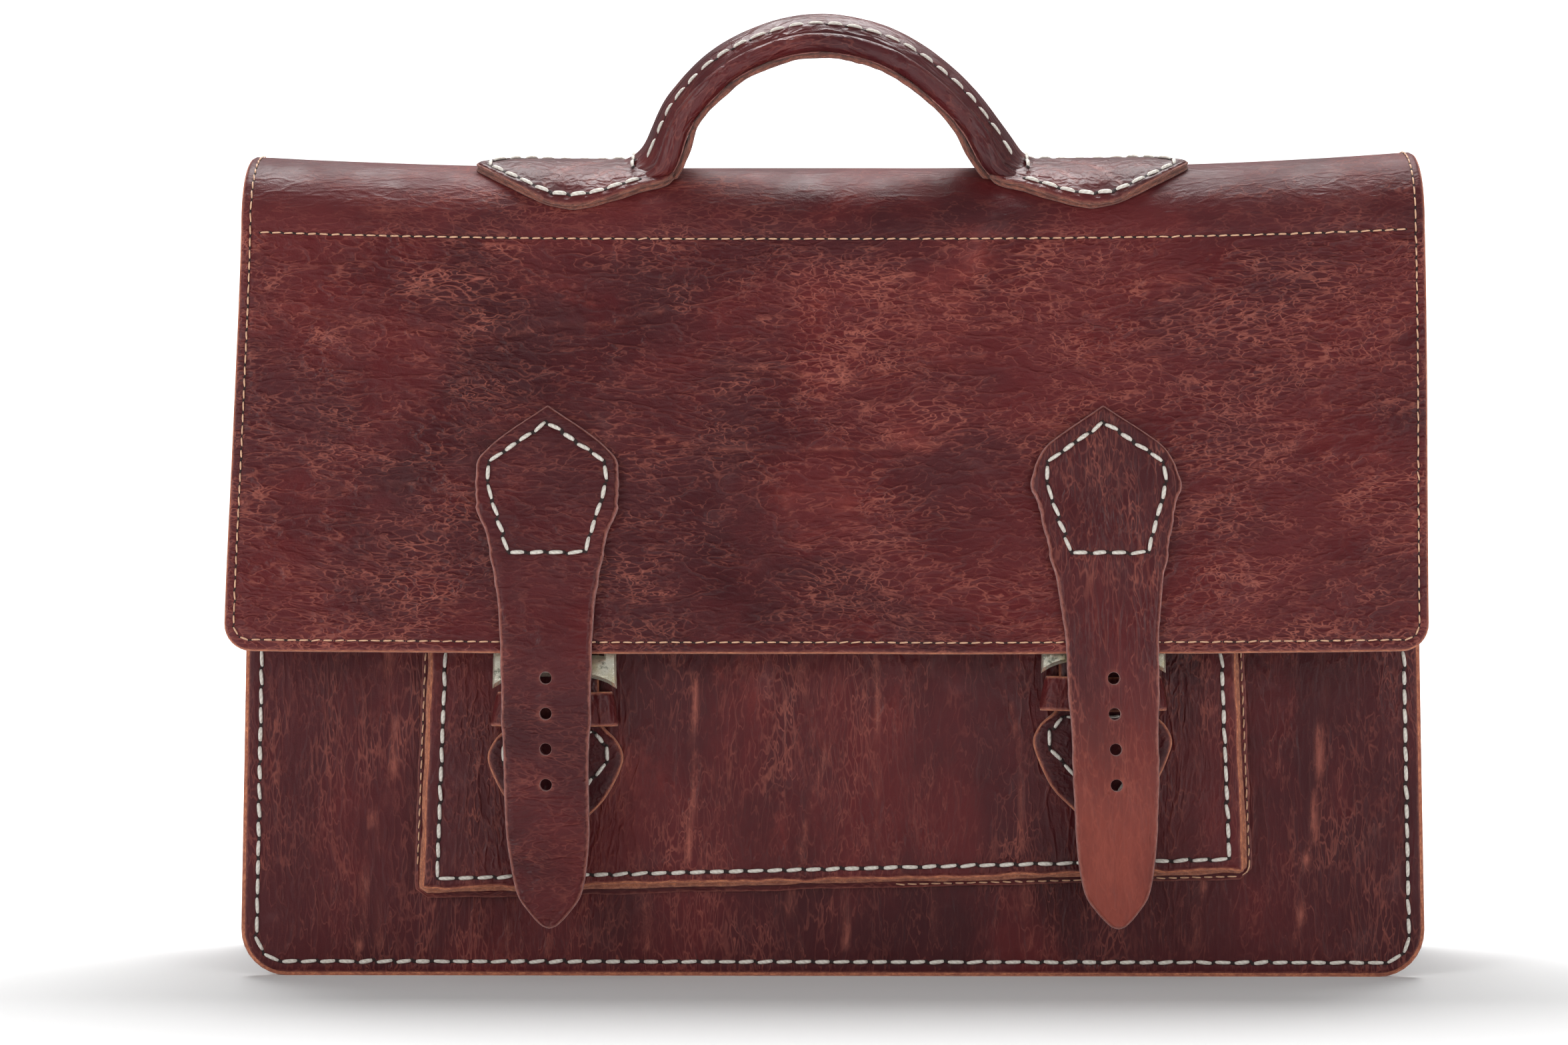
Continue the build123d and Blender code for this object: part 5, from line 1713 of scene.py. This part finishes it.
def turned(name, section, material, sides=64):
    """Stage surface turned about Z, from (radius, height) points in metres."""
    angles = 2 * pi * np.arange(sides) / sides
    points = [(r * cos(a), r * sin(a), z) for r, z in section for a in angles]
    faces = [face for k in range(len(section) - 1) for face in ring_faces(k * sides, (k + 1) * sides, sides)]
    mesh = bpy.data.meshes.new(name)
    mesh.from_pydata(points, [], faces)
    mesh.materials.append(material)
    mesh.shade_smooth()
    surface = bpy.data.objects.new(name, mesh)
    bpy.context.scene.collection.objects.link(surface)
    return surface


def paper(name, near_glow, far_glow):
    """Matt white paper that glows more with distance, so that it fades into pure white."""
    s = Shader(name)
    place = s.add("TexCoord").outputs["Object"]
    tint = s.mix(s.noise(place, 1.5, detail=3.0), (0.80, 0.80, 0.80), (0.83, 0.83, 0.83))
    distance = s.add("VectorMath", {"operation": "LENGTH"})
    s.set(distance.inputs[0], place)
    glow = s.ramp(distance.outputs["Value"], 0.22, 1.1, near_glow, far_glow)
    return s.finish(Base_Color=tint, Roughness=0.9, Specular_IOR_Level=0.1, Emission_Color=(1, 1, 1),
                    Emission_Strength=glow)


def studio():
    """White paper floor, a backdrop that only the camera sees, and three soft lights."""
    turned("studio_floor", [(0.02, 0), (0.6, 0), (1.5, 0), (3.2, 0)], paper("floor_paper", 0.0, 1.0))
    bend = [(3.2 + 1.2 * sin(a), 1.2 * (1 - cos(a))) for a in np.linspace(0, pi / 2, 12)]
    backdrop = turned("studio_backdrop", bend + [(4.4, 7.0), (0.1, 7.5)], paper("backdrop_paper", 1.0, 1.0))
    backdrop.visible_diffuse = backdrop.visible_glossy = backdrop.visible_shadow = False
    world = bpy.data.worlds.new("studio_world")
    world.use_nodes = True
    world.node_tree.nodes["Background"].inputs["Color"].default_value = (1, 1, 1, 1)
    world.node_tree.nodes["Background"].inputs["Strength"].default_value = 0.33
    bpy.context.scene.world = world
    area_light("softbox_top", (0.0, 0.52, 1.5), (0, 0.0, 0.1), (1.3, 0.5), 31)
    area_light("softbox_left", (-1.5, -1.5, 1.0), (0, 0, 0.15), (0.9, 1.2), 15)
    area_light("softbox_right", (1.4, -1.6, 0.8), (0, 0, 0.15), (0.8, 1.0), 9)
    bpy.context.scene.view_settings.view_transform = "Standard"


CAMERA_PLACE = (-3.0, -1334.0, 187.0)      # millimetres
CAMERA_LENS = 86.3             # for a sensor 36 mm wide
CAMERA_PITCH = radians(1.3)    # looking down
CAMERA_YAW = radians(0.6)      # turned to the left


def main_camera():
    data = bpy.data.cameras.new("main_camera")
    data.lens, data.sensor_width = CAMERA_LENS, 36.0
    camera = bpy.data.objects.new("main_camera", data)
    bpy.context.scene.collection.objects.link(camera)
    camera.location = [value * MM for value in CAMERA_PLACE]
    camera.rotation_euler = (pi / 2 - CAMERA_PITCH, 0, CAMERA_YAW)
    bpy.context.scene.camera = camera


# ---- assembly -----------------------------------------------------------------------------------
def enter(piece, nodes=(), body=None):
    """Hide the CAD nodes a piece stands for and, if it is rigid, attach it to its body."""
    if body:
        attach(piece, body)
    if nodes:
        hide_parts(*nodes)


def build_body():
    enter(front_panel(), ["front_panel"], "bag")
    enter(back_hide(), ["back_panel"])
    enter(gusset(), ["gusset"], "bag")
    enter(pocket_front(), ["pocket_front"], "bag")
    enter(pocket_flange(), ["pocket_gusset"], "bag")
    enter(pocket_wall(), body="bag")


def build_strap(strap):
    side = strap.side
    enter(strap_leather(strap), [side + "_strap_anchor", side + "_strap_tongue"])
    enter(strap_seam(strap), [side + "_strap_thread"])


def build_handle():
    enter(grip_cover(), ["handle_cover", "handle_core"])
    enter(handle_lip())
    enter(grip_underside(), ["handle_underside"])
    enter(grip_seam(), ["handle_thread"])
    enter(grip_root_seam())
    for pad in (Pad("left"), Pad("right")):
        enter(pad.base(), body="flap_top")
        enter(pad.cover(), [pad.side + "_handle_pad"], "flap_top")
        enter(pad.seam(), [pad.side + "_pad_thread"], "flap_top")


def build_closure(closure):
    side = closure.side
    enter(tab(closure), [side + "_buckle_tab", side + "_tab_neck"])
    enter(tab_seam(closure), [side + "_tab_thread"], "bag")
    enter(keeper(closure), [side + "_keeper"], "keeper_" + side)
    enter(buckle(closure), [side + "_buckle_frame"], "buckle_" + side)
    enter(buckle_bar(closure), body="buckle_" + side)
    enter(buckle_prong(closure), [side + "_prong"], "prong_" + side)


def build_body_seams():
    enter(front_seam(), ["front_seam_thread"], "bag")
    enter(back_seam(), ["back_seam_thread"], "bag")
    enter(pocket_seam(), ["pocket_seam_thread"], "bag")
    enter(pocket_flange_seam(), ["pocket_flange_thread"], "bag")


def build_flap():
    enter(flap_border_seam(), ["flap_edge_thread", "top_edge_thread"])
    enter(flap_cross_seam(), ["flap_cross_thread"])
    enter(arch_border_seam(), body="flap_top")
    enter(flap_hide(), ["flap_front_panel", "flap_top_panel"])
    enter(stiffener(), ["handle_stiffener"], "flap_top")
    enter(flap_lining(), ["flap_front_lining"])
    enter(arch_lining(), ["flap_top_lining"], "flap_top")


build_body()
for strap in (Strap("left", tilt=0.3, curl=0.8, shift=1.8), Strap("right", tilt=1.5, curl=-0.6, shift=0.5)):
    build_strap(strap)
build_handle()
for closure in (Closure("left"), Closure("right")):
    build_closure(closure)
build_body_seams()
build_flap()
studio()
main_camera()
